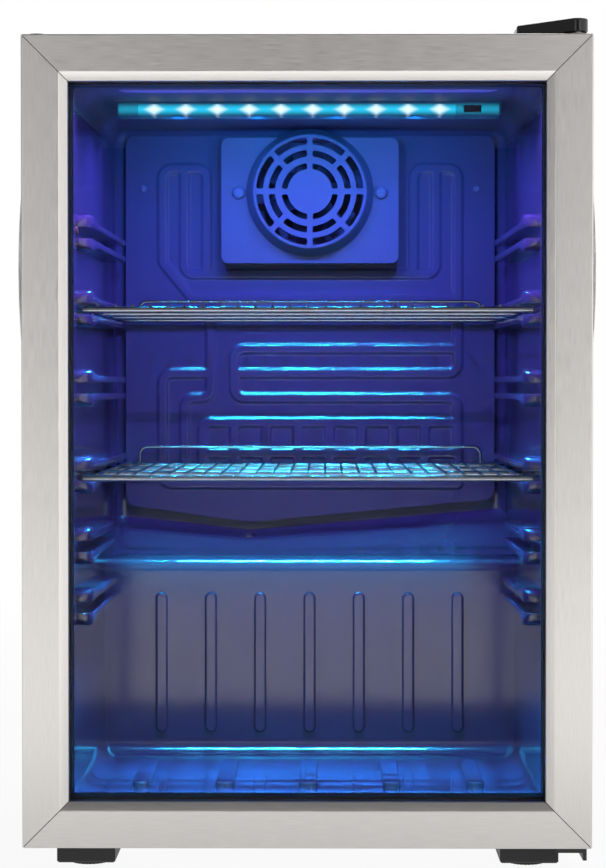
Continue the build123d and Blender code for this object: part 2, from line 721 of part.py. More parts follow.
def channel_paths():
    """Centre lines of the raised channels, as X and the drop below the plate's top edge."""
    outer = CHANNEL_OUTER
    middle = CHANNEL_MIDDLE
    inner = CHANNEL_INNER
    loop = -CHANNEL_LOOP
    turn = -CHANNEL_SERPENTINE
    grid = -CHANNEL_GRID
    head = CHANNEL_HEAD_DROP
    fan_run = CHANNEL_FAN_DROP
    low_run = CHANNEL_LOW_DROP
    run_1, run_2, run_3, run_4 = CHANNEL_RUN_DROPS
    foot = CHANNEL_FOOT_DROP
    half_grid = (run_4 + foot) / 2
    left_side = [(-inner, fan_run), (-inner, head), (-outer, head), (-outer, CHANNEL_BEVEL_DROP)]
    paths = [
        left_side + [(CHANNEL_BEVEL_RUN - outer, low_run), (outer, low_run)],
        [(inner, fan_run), (inner, head), (outer, head), (outer, run_2), (turn, run_2)],
        [(-middle, head), (-middle, fan_run), (middle, fan_run), (middle, head)],
        [(turn, run_3 - CHANNEL_TAIL), (turn, run_1), (outer, run_1)],
        [(turn, run_1 + CHANNEL_TAIL), (turn, run_3), (outer, run_3), (outer, foot)],
        [(outer, run_4), (grid, run_4), (grid, foot), (outer, foot)],
        [(loop, low_run), (loop, run_3), (-middle, run_3), (-middle, foot)],
        [(loop, run_2), (-outer, run_2), (-outer, foot), (grid, foot)],
        [(grid, half_grid), (outer, half_grid)],
    ]
    for column in range(1, GRID_COLUMNS):
        x = grid + column * GRID_PITCH
        paths.append([(x, run_4), (x, foot)])
    return paths


def channel(points):
    """One raised channel along its centre line."""
    places = [(x, plate_top - drop) for x, drop in points]
    line = FilletPolyline(*places, radius=CHANNEL_BEND) if len(places) > 2 else Polyline(*places)
    return slab(trace(line, CHANNEL_WIDTH), PLATE_FRONT - CHANNEL_RISE, PLATE_FRONT + PLATE_SHEET / 2)


evaporator_plate = slab(plate_outline, PLATE_FRONT, PLATE_BACK)
evaporator_plate = evaporator_plate.fuse(*[channel(points) for points in channel_paths()])
for bore in screw_bores(back_screw_places, PLATE_FRONT - CUT_PAST, FAN_SCREW_RADIUS + FIT_GAP):
    evaporator_plate -= bore

plate_screw_length = SCREW_POINT - PLATE_FRONT
evaporator_screws = group(
    screw(
        (x, PLATE_FRONT, z),
        (0, -1, 0),
        FAN_SCREW_RADIUS,
        plate_screw_length,
        PLATE_SCREW_HEAD,
        PLATE_SCREW_HEAD_HEIGHT,
    )
    for x, z in plate_screw_places()
)

# Fan: a moulded cover with a domed grille, and the motor on a cross of arms behind the blades
HUB_FRONT = FAN_FACE + FAN_COVER_WALL + FAN_GRILLE_GAP
HUB_BACK = HUB_FRONT + FAN_HUB_DEPTH
MOTOR_FRONT = HUB_BACK + FAN_MOTOR_GAP
MOTOR_BACK = MOTOR_FRONT + MOTOR_DEPTH
BRACKET_BACK = MOTOR_BACK + FAN_BRACKET_SHEET


def fan_disc(radius, front, back):
    """Round block on the fan's axis."""
    return rod((0, front, FAN_Z), (0, back, FAN_Z), radius)


def fan_cone(inset, front, back):
    """Round dome of the cover, narrowing towards its face."""
    plane = Plane(origin=(0, back, FAN_Z), x_dir=(1, 0, 0), z_dir=(0, -1, 0))
    narrowing = math.degrees(math.atan2(FAN_DOME_BASE - FAN_DOME_FACE, FAN_DOME_RISE))
    return extrude(plane * Circle(FAN_DOME_BASE - inset), back - front, taper=narrowing)


def cover_outline(inset):
    """Rounded outline of the fan cover's flat part."""
    return Pos(0, FAN_COVER_Z) * RectangleRounded(
        FAN_COVER_WIDTH - 2 * inset, FAN_COVER_HEIGHT - 2 * inset, FAN_COVER_CORNER - inset
    )


def grille_slots():
    """Rings of curved slots between straight spokes."""
    slots = Sketch()
    for inner, outer, count in FAN_SLOT_RINGS:
        ring = Circle(outer) - Circle(inner)
        for index in range(count):
            spoke = Pos(outer / 2, 0) * Rectangle(outer + FAN_SPOKE, FAN_SPOKE)
            ring -= Rot(0, 0, 360 * index / count) * spoke
        slots += fillet(ring.vertices(), (outer - inner) / 4)
    return Pos(0, FAN_Z) * slots


fan_post_places = [(x, FAN_Z + z) for x in (-FAN_POST_X, FAN_POST_X) for z in (-FAN_POST_Z, FAN_POST_Z)]
fan_cover = slab(cover_outline(0), FAN_COVER_FRONT, FAN_COVER_BACK)
fan_cover += fan_cone(0, FAN_FACE, FAN_COVER_FRONT)
fan_cover += fan_disc(FAN_DOME_BASE, FAN_COVER_FRONT, FAN_COVER_FRONT + 3 * FAN_COVER_WALL)
fan_cover = fillet(fan_cover.faces().sort_by(Axis.Y)[0].edges(), FAN_COVER_WALL)
fan_cover -= fan_cone(FAN_COVER_WALL, FAN_FACE + FAN_COVER_WALL, FAN_COVER_FRONT)
fan_cover -= slab(cover_outline(FAN_COVER_WALL), FAN_COVER_FRONT + FAN_COVER_WALL, FAN_COVER_BACK + CUT_PAST)
throat_front = FAN_COVER_FRONT - FAN_THROAT_LAP
throat_back = FAN_COVER_FRONT + FAN_COVER_WALL + FAN_THROAT_LAP
throat = fan_disc(FAN_DOME_BASE - FAN_COVER_WALL, throat_front, throat_back)
fan_cover -= throat & slab(cover_outline(FAN_COVER_WALL), FAN_COVER_FRONT - CUT_PAST, FAN_COVER_BACK)
fan_cover -= slab(grille_slots(), FAN_FACE - CUT_PAST, FAN_FACE + FAN_COVER_WALL + CUT_PAST)
post_root = FAN_COVER_FRONT + FAN_COVER_WALL / 2
for x, z in fan_screw_places():
    fan_cover += rod((x, post_root, z), (x, FAN_COVER_BACK, z), FAN_BOSS_RADIUS)
    bore_ends = [(x, FAN_COVER_FRONT - CUT_PAST, z), (x, FAN_COVER_BACK + CUT_PAST, z)]
    fan_cover -= rod(*bore_ends, FAN_SCREW_RADIUS + FIT_GAP)
for x, z in fan_post_places:
    fan_cover += rod((x, post_root, z), (x, MOTOR_BACK, z), FAN_POST_RADIUS)
    fan_cover += rod((x, MOTOR_BACK, z), (x, BRACKET_BACK, z), FAN_SCREW_RADIUS)
    fan_cover += rod((x, BRACKET_BACK, z), (x, BRACKET_BACK + FAN_STAKE, z), FAN_STAKE_RADIUS)

fan_cover_screws = group(
    screw(
        (x, FAN_COVER_FRONT, z),
        (0, -1, 0),
        FAN_SCREW_RADIUS,
        SCREW_POINT - FAN_COVER_FRONT,
        FAN_SCREW_HEAD,
        FAN_SCREW_HEAD_HEIGHT,
    )
    for x, z in fan_screw_places()
)

arm_reach = math.hypot(FAN_POST_X, FAN_POST_Z)
arm_angle = math.degrees(math.atan2(FAN_POST_Z, FAN_POST_X))
arm = SlotOverall(2 * arm_reach + FAN_BRACKET_ARM, FAN_BRACKET_ARM)
cross = Rot(0, 0, arm_angle) * arm + Rot(0, 0, -arm_angle) * arm + Circle(MOTOR_RADIUS)
fan_bracket = slab(Pos(0, FAN_Z) * cross, MOTOR_BACK, BRACKET_BACK)
for x, z in fan_post_places:
    bore_ends = [(x, MOTOR_BACK - CUT_PAST, z), (x, BRACKET_BACK + CUT_PAST, z)]
    fan_bracket -= rod(*bore_ends, FAN_SCREW_RADIUS + FIT_GAP)

shaft_end = MOTOR_BACK - MOTOR_END_WALL
fan_motor = fan_disc(MOTOR_RADIUS, MOTOR_FRONT, MOTOR_BACK)
fan_motor = fillet(fan_motor.edges().filter_by(GeomType.CIRCLE).sort_by(Axis.Y)[0], MOTOR_ROUND)
fan_motor -= fan_disc(FAN_SHAFT_RADIUS + PIN_PLAY, MOTOR_FRONT - CUT_PAST, shaft_end + LOOSE_GAP)
fan_shaft = fan_disc(FAN_SHAFT_RADIUS, HUB_FRONT + FAN_HUB_FACE, shaft_end)


def fan_blade(angle):
    """One flat blade set at its pitch and trimmed to a round tip."""
    length = BLADE_RADIUS - FAN_HUB_RADIUS + 3 * BLADE_ROOT
    middle = FAN_HUB_RADIUS - BLADE_ROOT + length / 2
    blade = Pos(middle, 0, 0) * Rot(BLADE_PITCH_ANGLE, 0, 0) * Box(length, BLADE_CHORD, BLADE_SHEET)
    place = Plane(origin=(0, (HUB_FRONT + HUB_BACK) / 2, FAN_Z), x_dir=(1, 0, 0), z_dir=(0, -1, 0))
    return place * (Rot(0, 0, angle) * blade)


fan_blades = fan_disc(FAN_HUB_RADIUS, HUB_FRONT, HUB_BACK)
fan_blades = fillet(fan_blades.edges().filter_by(GeomType.CIRCLE).sort_by(Axis.Y)[0], FAN_HUB_ROUND)
blade_room = fan_disc(BLADE_RADIUS, HUB_FRONT, HUB_BACK)
for index in range(BLADE_COUNT):
    fan_blades += fan_blade(360 * index / BLADE_COUNT) & blade_room
fan_blades -= fan_disc(FAN_SHAFT_RADIUS, HUB_FRONT + FAN_HUB_FACE, HUB_BACK + CUT_PAST)

# Light: a moulded bar on the ceiling with a strip of lamps behind a clear lens, and its rocker switch
LIGHT_FRONT = CABINET_FRONT + LIGHT_SETBACK
LIGHT_BOTTOM = CAVITY_CEILING - LIGHT_SETBACK * DRAFT_SLOPE - LIGHT_HEIGHT
LIGHT_POCKET_TOP = LIGHT_BOTTOM + LIGHT_HEIGHT - LIGHT_WALL
LIGHT_POCKET_BACK = LIGHT_FRONT + LIGHT_POCKET_DEPTH
LED_LAST_X = LED_FIRST_X + (LED_COUNT - 1) * LED_PITCH
light_left = LED_FIRST_X - LED_PITCH / 2
light_right = LED_LAST_X + LED_PITCH / 2
board_front = LIGHT_POCKET_BACK - LED_BOARD
switch_y = LIGHT_FRONT + SWITCH_THICKNESS / 2 + SWITCH_FACE_SETBACK
switch_z = LIGHT_BOTTOM + LIGHT_HEIGHT / 2
switch_half = SWITCH_HEIGHT / 2
switch_pocket_half = SWITCH_WIDTH / 2 + SWITCH_SIDE_GAP

light_base = block(
    -LIGHT_LENGTH / 2, LIGHT_LENGTH / 2, LIGHT_FRONT, LIGHT_FRONT + LIGHT_DEPTH, LIGHT_BOTTOM, CAVITY_CEILING
)
light_base &= cavity
light_base -= block(
    light_left,
    light_right,
    LIGHT_FRONT - CUT_PAST,
    LIGHT_POCKET_BACK,
    LIGHT_BOTTOM - CUT_PAST,
    LIGHT_POCKET_TOP,
)
light_base -= block(
    SWITCH_X - switch_pocket_half,
    SWITCH_X + switch_pocket_half,
    LIGHT_FRONT - CUT_PAST,
    LIGHT_FRONT + SWITCH_POCKET_DEPTH,
    switch_z - switch_half - LOOSE_GAP,
    switch_z + switch_half + LOOSE_GAP,
)
pivot_reach = switch_half + SWITCH_PIVOT_REACH
light_base -= rod(
    (SWITCH_X, switch_y, switch_z - pivot_reach - LOOSE_GAP),
    (SWITCH_X, switch_y, switch_z + pivot_reach + LOOSE_GAP),
    SWITCH_PIVOT + PIN_PLAY,
)

light_switch = Pos(SWITCH_X, switch_y, switch_z) * Rot(0, 0, -SWITCH_TILT) * Box(
    SWITCH_WIDTH, SWITCH_THICKNESS, SWITCH_HEIGHT
)
light_switch = fillet(light_switch.edges().filter_by(Axis.Z), SWITCH_ROUND)
light_switch += rod(
    (SWITCH_X, switch_y, switch_z - pivot_reach), (SWITCH_X, switch_y, switch_z + pivot_reach), SWITCH_PIVOT
)

light_lens = block(
    light_left + FIT_GAP,
    light_right - FIT_GAP,
    LIGHT_FRONT,
    LIGHT_FRONT + LENS_SHEET,
    LIGHT_BOTTOM,
    LIGHT_POCKET_TOP - FIT_GAP,
)
light_lens += block(
    light_left + FIT_GAP,
    light_right - FIT_GAP,
    LIGHT_FRONT,
    LIGHT_POCKET_BACK - FIT_GAP,
    LIGHT_BOTTOM,
    LIGHT_BOTTOM + LENS_SHEET,
)
led_board = block(
    light_left + FIT_GAP,
    light_right - FIT_GAP,
    board_front,
    LIGHT_POCKET_BACK,
    LIGHT_BOTTOM + LENS_SHEET + FIT_GAP,
    LIGHT_POCKET_TOP - FIT_GAP,
)
led_z = (LIGHT_BOTTOM + LENS_SHEET + LIGHT_POCKET_TOP) / 2
led_y = board_front - LED_BOARD / 2
leds = group(
    Pos(LED_FIRST_X + index * LED_PITCH, led_y, led_z) * Box(LED_SIZE, LED_BOARD, LED_SIZE)
    for index in range(LED_COUNT)
)

# Shelves: straight cross rods whose ends lie on the rails, with close wires welded along the depth
shelf_front = CABINET_FRONT + SHELF_SETBACK
shelf_back = CAVITY_BACK - SHELF_REAR_GAP
shelf_half = wall_half_width(shelf_back) - SHELF_SIDE_GAP


def shelf(level):
    """One welded wire shelf resting at a level above the floor of the liner."""
    rod_z = CAVITY_FLOOR + level + LOOSE_GAP + SHELF_ROD
    wire_z = rod_z + SHELF_ROD + SHELF_WIRE - WELD_SINK
    wire_span = shelf_half - RAIL_REACH
    pitch = 2 * wire_span / (SHELF_WIRE_COUNT - 1)
    wire_start = shelf_front - SHELF_WIRE_OVERHANG
    wire_end = shelf_back + SHELF_WIRE_OVERHANG
    pieces = []
    for index in range(SHELF_CROSS_RODS):
        depth = shelf_front + (shelf_back - shelf_front) * index / (SHELF_CROSS_RODS - 1)
        pieces.append(rod((-shelf_half, depth, rod_z), (shelf_half, depth, rod_z), SHELF_ROD))
    for index in range(SHELF_WIRE_COUNT):
        x = -wire_span + index * pitch
        pieces.append(rod((x, wire_start, wire_z), (x, wire_end, wire_z), SHELF_WIRE))
    lip_half = wire_span - SHELF_LIP_INSET * pitch
    lip_top = wire_z + SHELF_LIP
    lip = [
        (-lip_half, shelf_back, rod_z),
        (-lip_half, shelf_back, lip_top),
        (lip_half, shelf_back, lip_top),
        (lip_half, shelf_back, rod_z),
    ]
    pieces.append(bent_tube(lip, SHELF_LIP_ROD, SHELF_LIP / 2))
    return pieces[0].fuse(*pieces[1:])


upper_shelf = shelf(UPPER_SHELF_LEVEL)
lower_shelf = shelf(LOWER_SHELF_LEVEL)


# Door: mitred stainless trims round a plastic frame that holds the double glazing and the magnetic gasket
def side_block(side, outer_inset, inner_inset, y0, y1, z0, z1):
    """Block measured inward from the door's left (-1) or right (1) edge."""
    edges = sorted((side * (HALF_WIDTH - outer_inset), side * (HALF_WIDTH - inner_inset)))
    return block(edges[0], edges[1], y0, y1, z0, z1)


grip_y0 = DOOR_FRONT + GRIP_FRONT
grip_y1 = grip_y0 + GRIP_DEPTH
grip_z0 = DOOR_TOP - GRIP_DROP - GRIP_LENGTH / 2
grip_z1 = DOOR_TOP - GRIP_DROP + GRIP_LENGTH / 2


def grip_opening(side):
    """Cut in the door's edge that a grip is pushed into."""
    return side_block(
        side,
        -CUT_PAST,
        GRIP_REACH + FIT_GAP,
        grip_y0 - FIT_GAP,
        grip_y1 + FIT_GAP,
        grip_z0 - FIT_GAP,
        grip_z1 + FIT_GAP,
    )


def grip(side):
    """Finger pocket with a bowed lip along its front edge."""
    cup = side_block(side, 0, GRIP_REACH, grip_y0, grip_y1, grip_z0, grip_z1)
    cup -= side_block(
        side,
        -CUT_PAST,
        GRIP_REACH - GRIP_WALL,
        grip_y0 + GRIP_LIP,
        grip_y1 - GRIP_WALL,
        grip_z0 + GRIP_END_WALL,
        grip_z1 - GRIP_END_WALL,
    )
    edge = side * (HALF_WIDTH - GRIP_WALL)
    middle = (side * (HALF_WIDTH + GRIP_BOW), (grip_z0 + grip_z1) / 2)
    corners = [(side * HALF_WIDTH, grip_z1), (edge, grip_z1), (edge, grip_z0), (side * HALF_WIDTH, grip_z0)]
    bow = ThreePointArc(corners[3], middle, corners[0]) + Polyline(*corners)
    return cup + slab(make_face(bow.edges()), grip_y0, grip_y0 + GRIP_LIP)


def trim(start, end, inward):
    """One folded stainless member between two corners of the door, mitred at both ends."""
    sheet = TRIM_SHEET
    fold = TRIM_FACE - sheet * (math.sqrt(2) - 1)
    profile = Polygon(
        (0, 0),
        (0, TRIM_FACE),
        (TRIM_BEVEL, OPENING_INSET),
        (TRIM_BEVEL + sheet * math.sqrt(2), OPENING_INSET),
        (sheet, fold),
        (sheet, sheet),
        (TRIM_RETURN, sheet),
        (TRIM_RETURN, 0),
        align=None,
    )
    run = Vector(end[0] - start[0], 0, end[1] - start[1])
    along = run.normalized()
    plane = Plane(origin=(start[0], DOOR_FRONT, start[1]), x_dir=(0, 1, 0), z_dir=(inward[1], 0, -inward[0]))
    bar = extrude(plane * profile, run.length, dir=along)
    gap = MITRE_GAP / math.sqrt(2)
    reach = OPENING_INSET + CUT_PAST
    corners = [
        (start, gap, 0),
        (end, -gap, 0),
        (end, -gap - reach, reach),
        (start, gap + reach, reach),
    ]
    wedge = [
        (place[0] + shift * along.X + depth * inward[0], place[1] + shift * along.Z + depth * inward[1])
        for place, shift, depth in corners
    ]
    return bar & slab(Polygon(*wedge, align=None), DOOR_FRONT - CUT_PAST, DOOR_BACK)


def bush_bores(side):
    """Round cutters for the hinge bushes at the top and bottom of one side of the door."""
    radius = BUSH_RADIUS + FIT_GAP
    depth = BUSH_LENGTH + LOOSE_GAP
    x = side * PIN_X
    top = rod((x, PIN_Y, DOOR_TOP - depth), (x, PIN_Y, DOOR_TOP + CUT_PAST), radius)
    bottom = rod((x, PIN_Y, DOOR_BOTTOM - CUT_PAST), (x, PIN_Y, DOOR_BOTTOM + depth), radius)
    return [top, bottom]


corner_low_left = (-HALF_WIDTH, DOOR_BOTTOM)
corner_low_right = (HALF_WIDTH, DOOR_BOTTOM)
corner_high_left = (-HALF_WIDTH, DOOR_TOP)
corner_high_right = (HALF_WIDTH, DOOR_TOP)
bores = bush_bores(-1) + bush_bores(1)
trim_top = trim(corner_high_left, corner_high_right, (0, -1)) - bores
trim_bottom = trim(corner_low_left, corner_low_right, (0, 1)) - bores
trim_left = trim(corner_low_left, corner_high_left, (1, 0)) - grip_opening(-1)
trim_right = trim(corner_low_right, corner_high_right, (-1, 0)) - grip_opening(1)

dart_half = DART_WIDTH / 2
door_frame = door_ring(TRIM_SHEET, POCKET_INSET, DOOR_FRONT + TRIM_SHEET, POCKET_BACK)
door_frame += door_ring(TRIM_SHEET, OPENING_INSET, POCKET_BACK, DOOR_BACK)
door_frame -= door_ring(
    DART_INSET - dart_half - FIT_GAP,
    DART_INSET + dart_half + FIT_GAP,
    DOOR_BACK - DART_DEPTH - LOOSE_GAP,
    DOOR_BACK + CUT_PAST,
)
door_frame -= [grip_opening(-1), grip_opening(1)] + bores

handle_left = grip(-1)
handle_right = grip(1)

pane_inset = POCKET_INSET + LOOSE_GAP
pane = Pos(0, DOOR_MIDDLE) * Rectangle(CABINET_WIDTH - 2 * pane_inset, DOOR_HEIGHT - 2 * pane_inset)
outer_glass = slab(pane, GLASS_FRONT, SPACER_FRONT)
inner_glass = slab(pane, INNER_GLASS_FRONT, POCKET_BACK)
spacer_inset = OPENING_INSET - SPACER_WIDTH - SPACER_SETBACK
glass_spacer = door_ring(spacer_inset, spacer_inset + SPACER_WIDTH, SPACER_FRONT, INNER_GLASS_FRONT)

magnet_end = MAGNET_INSET + MAGNET_WIDTH
magnet_back = DOOR_BACK + MAGNET_THICKNESS
door_gasket = door_ring(GASKET_INSET, GASKET_INSET + GASKET_WIDTH, DOOR_BACK, DOOR_BACK + GASKET_THICKNESS)
door_gasket -= door_ring(
    MAGNET_INSET - FIT_GAP, magnet_end + FIT_GAP, DOOR_BACK - CUT_PAST, magnet_back + FIT_GAP
)
door_gasket += door_ring(
    DART_INSET - dart_half, DART_INSET + dart_half, DOOR_BACK - DART_DEPTH, DOOR_BACK + CUT_PAST
)

magnet_x = HALF_WIDTH - MAGNET_INSET
magnet_low = DOOR_BOTTOM + MAGNET_INSET
magnet_high = DOOR_TOP - MAGNET_INSET
upright_low = magnet_low + MAGNET_WIDTH + MAGNET_END_GAP
upright_high = magnet_high - MAGNET_WIDTH - MAGNET_END_GAP
gasket_magnets = group(
    [
        block(-magnet_x, magnet_x, DOOR_BACK, magnet_back, magnet_low, magnet_low + MAGNET_WIDTH),
        block(-magnet_x, magnet_x, DOOR_BACK, magnet_back, magnet_high - MAGNET_WIDTH, magnet_high),
        side_block(-1, MAGNET_INSET, magnet_end, DOOR_BACK, magnet_back, upright_low, upright_high),
        side_block(1, MAGNET_INSET, magnet_end, DOOR_BACK, magnet_back, upright_low, upright_high),
    ]
)


def bush(x, edge, outward, bore):
    """Flanged bush pushed into the door's edge; outward is +1 at the top and -1 at the bottom."""
    body = rod((x, PIN_Y, edge), (x, PIN_Y, edge - outward * BUSH_LENGTH), BUSH_RADIUS)
    body += rod((x, PIN_Y, edge), (x, PIN_Y, edge + outward * BUSH_FLANGE), BUSH_FLANGE_RADIUS)
    if bore:
        inner_end = edge - outward * (BUSH_LENGTH + CUT_PAST)
        outer_end = edge + outward * (BUSH_FLANGE + CUT_PAST)
        body -= rod((x, PIN_Y, inner_end), (x, PIN_Y, outer_end), bore)
    return body


pin_bore = PIN_RADIUS + PIN_PLAY
hinge_bushes = group([bush(PIN_X, DOOR_TOP, 1, pin_bore), bush(PIN_X, DOOR_BOTTOM, -1, pin_bore)])
spare_hole_plugs = group([bush(-PIN_X, DOOR_TOP, 1, 0), bush(-PIN_X, DOOR_BOTTOM, -1, 0)])

# Hinges: a plate on the cabinet's top and one under its base, each with a riveted pin
UPPER_PLATE_TOP = CABINET_TOP + HINGE_PLATE
LOWER_PLATE_BOTTOM = CABINET_BOTTOM - HINGE_PLATE
upper_plate_x = HALF_WIDTH - HINGE_SIDE_GAP - HINGE_PLATE_WIDTH / 2
upper_plate_y = CABINET_FRONT + HINGE_SETBACK + HINGE_PLATE_DEPTH / 2
lower_plate_right = HALF_WIDTH - LOWER_PLATE_INSET
lower_plate_x = lower_plate_right - LOWER_PLATE_WIDTH / 2


def upper_outline(growth):
    """Plan of the upper hinge plate: a nose round the pin running back to a wide foot."""
    nose = Pos(PIN_X, PIN_Y) * Circle(HINGE_NOSE_RADIUS + growth)
    foot = Pos(upper_plate_x, upper_plate_y) * Rectangle(
        HINGE_PLATE_WIDTH + 2 * growth, HINGE_PLATE_DEPTH + 2 * growth
    )
    return make_hull((nose + foot).edges())


def upper_screw_places():
    """X and Y of the upper hinge's screws."""
    return [
        (upper_plate_x - HINGE_SCREW_SPREAD, upper_plate_y + HINGE_SCREW_REAR),
        (upper_plate_x + HINGE_SCREW_SPREAD, upper_plate_y + HINGE_SCREW_REAR),
        (upper_plate_x + HINGE_SCREW_SPREAD, upper_plate_y - HINGE_SCREW_FRONT),
    ]


def lower_screw_places():
    """X and Y of the lower hinge's screws."""
    x = lower_plate_x - LOWER_SCREW_SHIFT
    return [(x, CABINET_FRONT + setback) for setback in LOWER_SCREW_SETBACKS]


def shank_holes(places, bottom, top):
    """Round cutters for the hinge screws' shanks between two heights."""
    return [rod((x, y, bottom), (x, y, top), HINGE_SCREW_RADIUS) for x, y in places]


upper_hinge_bracket = layer(upper_outline(0), CABINET_TOP, UPPER_PLATE_TOP)
upper_cut = (CABINET_TOP - CUT_PAST, UPPER_PLATE_TOP + CUT_PAST)
upper_hinge_bracket -= shank_holes(upper_screw_places(), *upper_cut)
upper_hinge_bracket -= rod((PIN_X, PIN_Y, upper_cut[0]), (PIN_X, PIN_Y, upper_cut[1]), PIN_RADIUS)

cover_top = UPPER_PLATE_TOP + HINGE_COVER_HEIGHT
upper_hinge_cover = layer(upper_outline(FIT_GAP + HINGE_COVER_WALL), CABINET_TOP, cover_top)
upper_hinge_cover = fillet(upper_hinge_cover.faces().sort_by(Axis.Z)[-1].edges(), HINGE_COVER_WALL)
upper_hinge_cover -= layer(upper_outline(FIT_GAP), CABINET_TOP - CUT_PAST, cover_top - HINGE_COVER_WALL)

lower_front = PIN_Y - HINGE_NOSE_RADIUS
lower_back = CABINET_FRONT + HINGE_SETBACK + HINGE_PLATE_DEPTH
lower_hinge_bracket = block(
    lower_plate_right - LOWER_PLATE_WIDTH,
    lower_plate_right,
    lower_front,
    lower_back,
    LOWER_PLATE_BOTTOM,
    CABINET_BOTTOM,
)
lower_hinge_bracket += block(
    lower_plate_right - LOWER_NOSE_WIDTH,
    lower_plate_right,
    lower_front,
    CABINET_FRONT,
    LOWER_PLATE_BOTTOM,
    CABINET_BOTTOM,
)
lower_hinge_bracket += block(
    lower_plate_right - HINGE_PLATE,
    lower_plate_right,
    lower_front,
    lower_back,
    LOWER_PLATE_BOTTOM - HINGE_LIP_DROP,
    LOWER_PLATE_BOTTOM,
)
lower_cut = (LOWER_PLATE_BOTTOM - CUT_PAST, CABINET_BOTTOM + CUT_PAST)
lower_hinge_bracket -= shank_holes(lower_screw_places(), *lower_cut)
lower_hinge_bracket -= rod((PIN_X, PIN_Y, lower_cut[0]), (PIN_X, PIN_Y, lower_cut[1]), PIN_RADIUS)

hinge_pins = group(
    [
        rod((PIN_X, PIN_Y, DOOR_TOP - PIN_REACH), (PIN_X, PIN_Y, UPPER_PLATE_TOP), PIN_RADIUS),
        rod((PIN_X, PIN_Y, LOWER_PLATE_BOTTOM), (PIN_X, PIN_Y, DOOR_BOTTOM + PIN_REACH), PIN_RADIUS),
    ]
)


def hinge_screw(x, y, seat, outward):
    """Screw that holds a hinge plate to the cabinet."""
    return screw(
        (x, y, seat),
        (0, 0, outward),
        HINGE_SCREW_RADIUS,
        HINGE_SCREW_LENGTH,
        HINGE_SCREW_HEAD,
        HINGE_SCREW_HEAD_HEIGHT,
    )


hinge_screws = group(
    [hinge_screw(x, y, UPPER_PLATE_TOP, 1) for x, y in upper_screw_places()]
    + [hinge_screw(x, y, LOWER_PLATE_BOTTOM, -1) for x, y in lower_screw_places()]
)
shank_room = HINGE_SCREW_LENGTH + LOOSE_GAP
upper_shanks = shank_holes(upper_screw_places(), UPPER_PLATE_TOP - shank_room, UPPER_PLATE_TOP)
lower_shanks = shank_holes(lower_screw_places(), LOWER_PLATE_BOTTOM, LOWER_PLATE_BOTTOM + shank_room)
cabinet_wrap -= upper_shanks
base_plate -= lower_shanks
foam_insulation -= upper_shanks + lower_shanks

# Machine bay: compressor on rubber grommets, drip tray, condenser, drier and the rear controls
compressor_x = DRAIN_X
foot_bottom = BASE_TOP + GROMMET_HEIGHT
foot_top = foot_bottom + COMPRESSOR_FOOT
compressor_top = foot_top + COMPRESSOR_HEIGHT
grommet_x = COMPRESSOR_FOOT_WIDTH / 2 - GROMMET_RADIUS
grommet_y = COMPRESSOR_FOOT_DEPTH / 2 - GROMMET_RADIUS
grommet_places = [
    (compressor_x + x * grommet_x, compressor_y() + y * grommet_y) for x in (-1, 1) for y in (-1, 1)
]
stud_top = foot_top + STUD_PROUD
discharge_z = BASE_TOP + DISCHARGE_RISE
discharge_y = compressor_y() + PIPE_STUB_SPREAD
stub_end = compressor_x + COMPRESSOR_RADIUS + PIPE_STUB
suction_start = suction_points()[0]

compressor = Pos(compressor_x, compressor_y(), foot_top + COMPRESSOR_HEIGHT / 2) * Cylinder(
    COMPRESSOR_RADIUS, COMPRESSOR_HEIGHT
)
compressor_rim = compressor.edges().filter_by(GeomType.CIRCLE).sort_by(Axis.Z)[-1]
compressor = fillet(compressor_rim, COMPRESSOR_DOME)
compressor_foot = RectangleRounded(COMPRESSOR_FOOT_WIDTH, COMPRESSOR_FOOT_DEPTH, GROMMET_RADIUS)
compressor += layer(Pos(compressor_x, compressor_y()) * compressor_foot, foot_bottom, foot_top)
for y, z in ((suction_start[1], suction_start[2]), (discharge_y, discharge_z)):
    compressor += rod((compressor_x, y, z), (stub_end, y, z), PIPE_STUB_RADIUS)
for x, y in grommet_places:
    compressor -= rod((x, y, foot_bottom - CUT_PAST), (x, y, foot_top + CUT_PAST), STUD_RADIUS + LOOSE_GAP)
    base_plate += rod((x, y, BASE_TOP - BASE_SHEET / 2), (x, y, stud_top), STUD_RADIUS)


def grommet(x, y):
    """Rubber ring under a corner of the compressor's foot."""
    ring = rod((x, y, BASE_TOP), (x, y, foot_bottom), GROMMET_RADIUS)
    return ring - rod((x, y, BASE_TOP - CUT_PAST), (x, y, foot_bottom + CUT_PAST), STUD_RADIUS + FIT_GAP)


compressor_grommets = group(grommet(x, y) for x, y in grommet_places)

relay_cover = block(
    compressor_x - COMPRESSOR_RADIUS - RELAY_REACH,
    compressor_x - COMPRESSOR_RADIUS + RELAY_SINK,
    compressor_y() - RELAY_WIDTH / 2,
    compressor_y() + RELAY_WIDTH / 2,
    foot_top + RELAY_RISE,
    foot_top + RELAY_RISE + RELAY_HEIGHT,
)
relay_cover = fillet(relay_cover.edges().filter_by(Axis.Z), RELAY_ROUND)
relay_cover -= Pos(compressor_x, compressor_y(), compressor_top / 2) * Cylinder(
    COMPRESSOR_RADIUS + FIT_GAP, compressor_top
)

tray_place = Pos(compressor_x, compressor_y())
drip_tray = layer(
    tray_place * RectangleRounded(TRAY_WIDTH, TRAY_DEPTH, TRAY_ROUND),
    compressor_top,
    compressor_top + TRAY_HEIGHT,
)
tray_room = RectangleRounded(TRAY_WIDTH - 2 * TRAY_WALL, TRAY_DEPTH - 2 * TRAY_WALL, TRAY_ROUND - TRAY_WALL)
drip_tray -= layer(
    tray_place * tray_room, compressor_top + TRAY_WALL, compressor_top + TRAY_HEIGHT + CUT_PAST
)

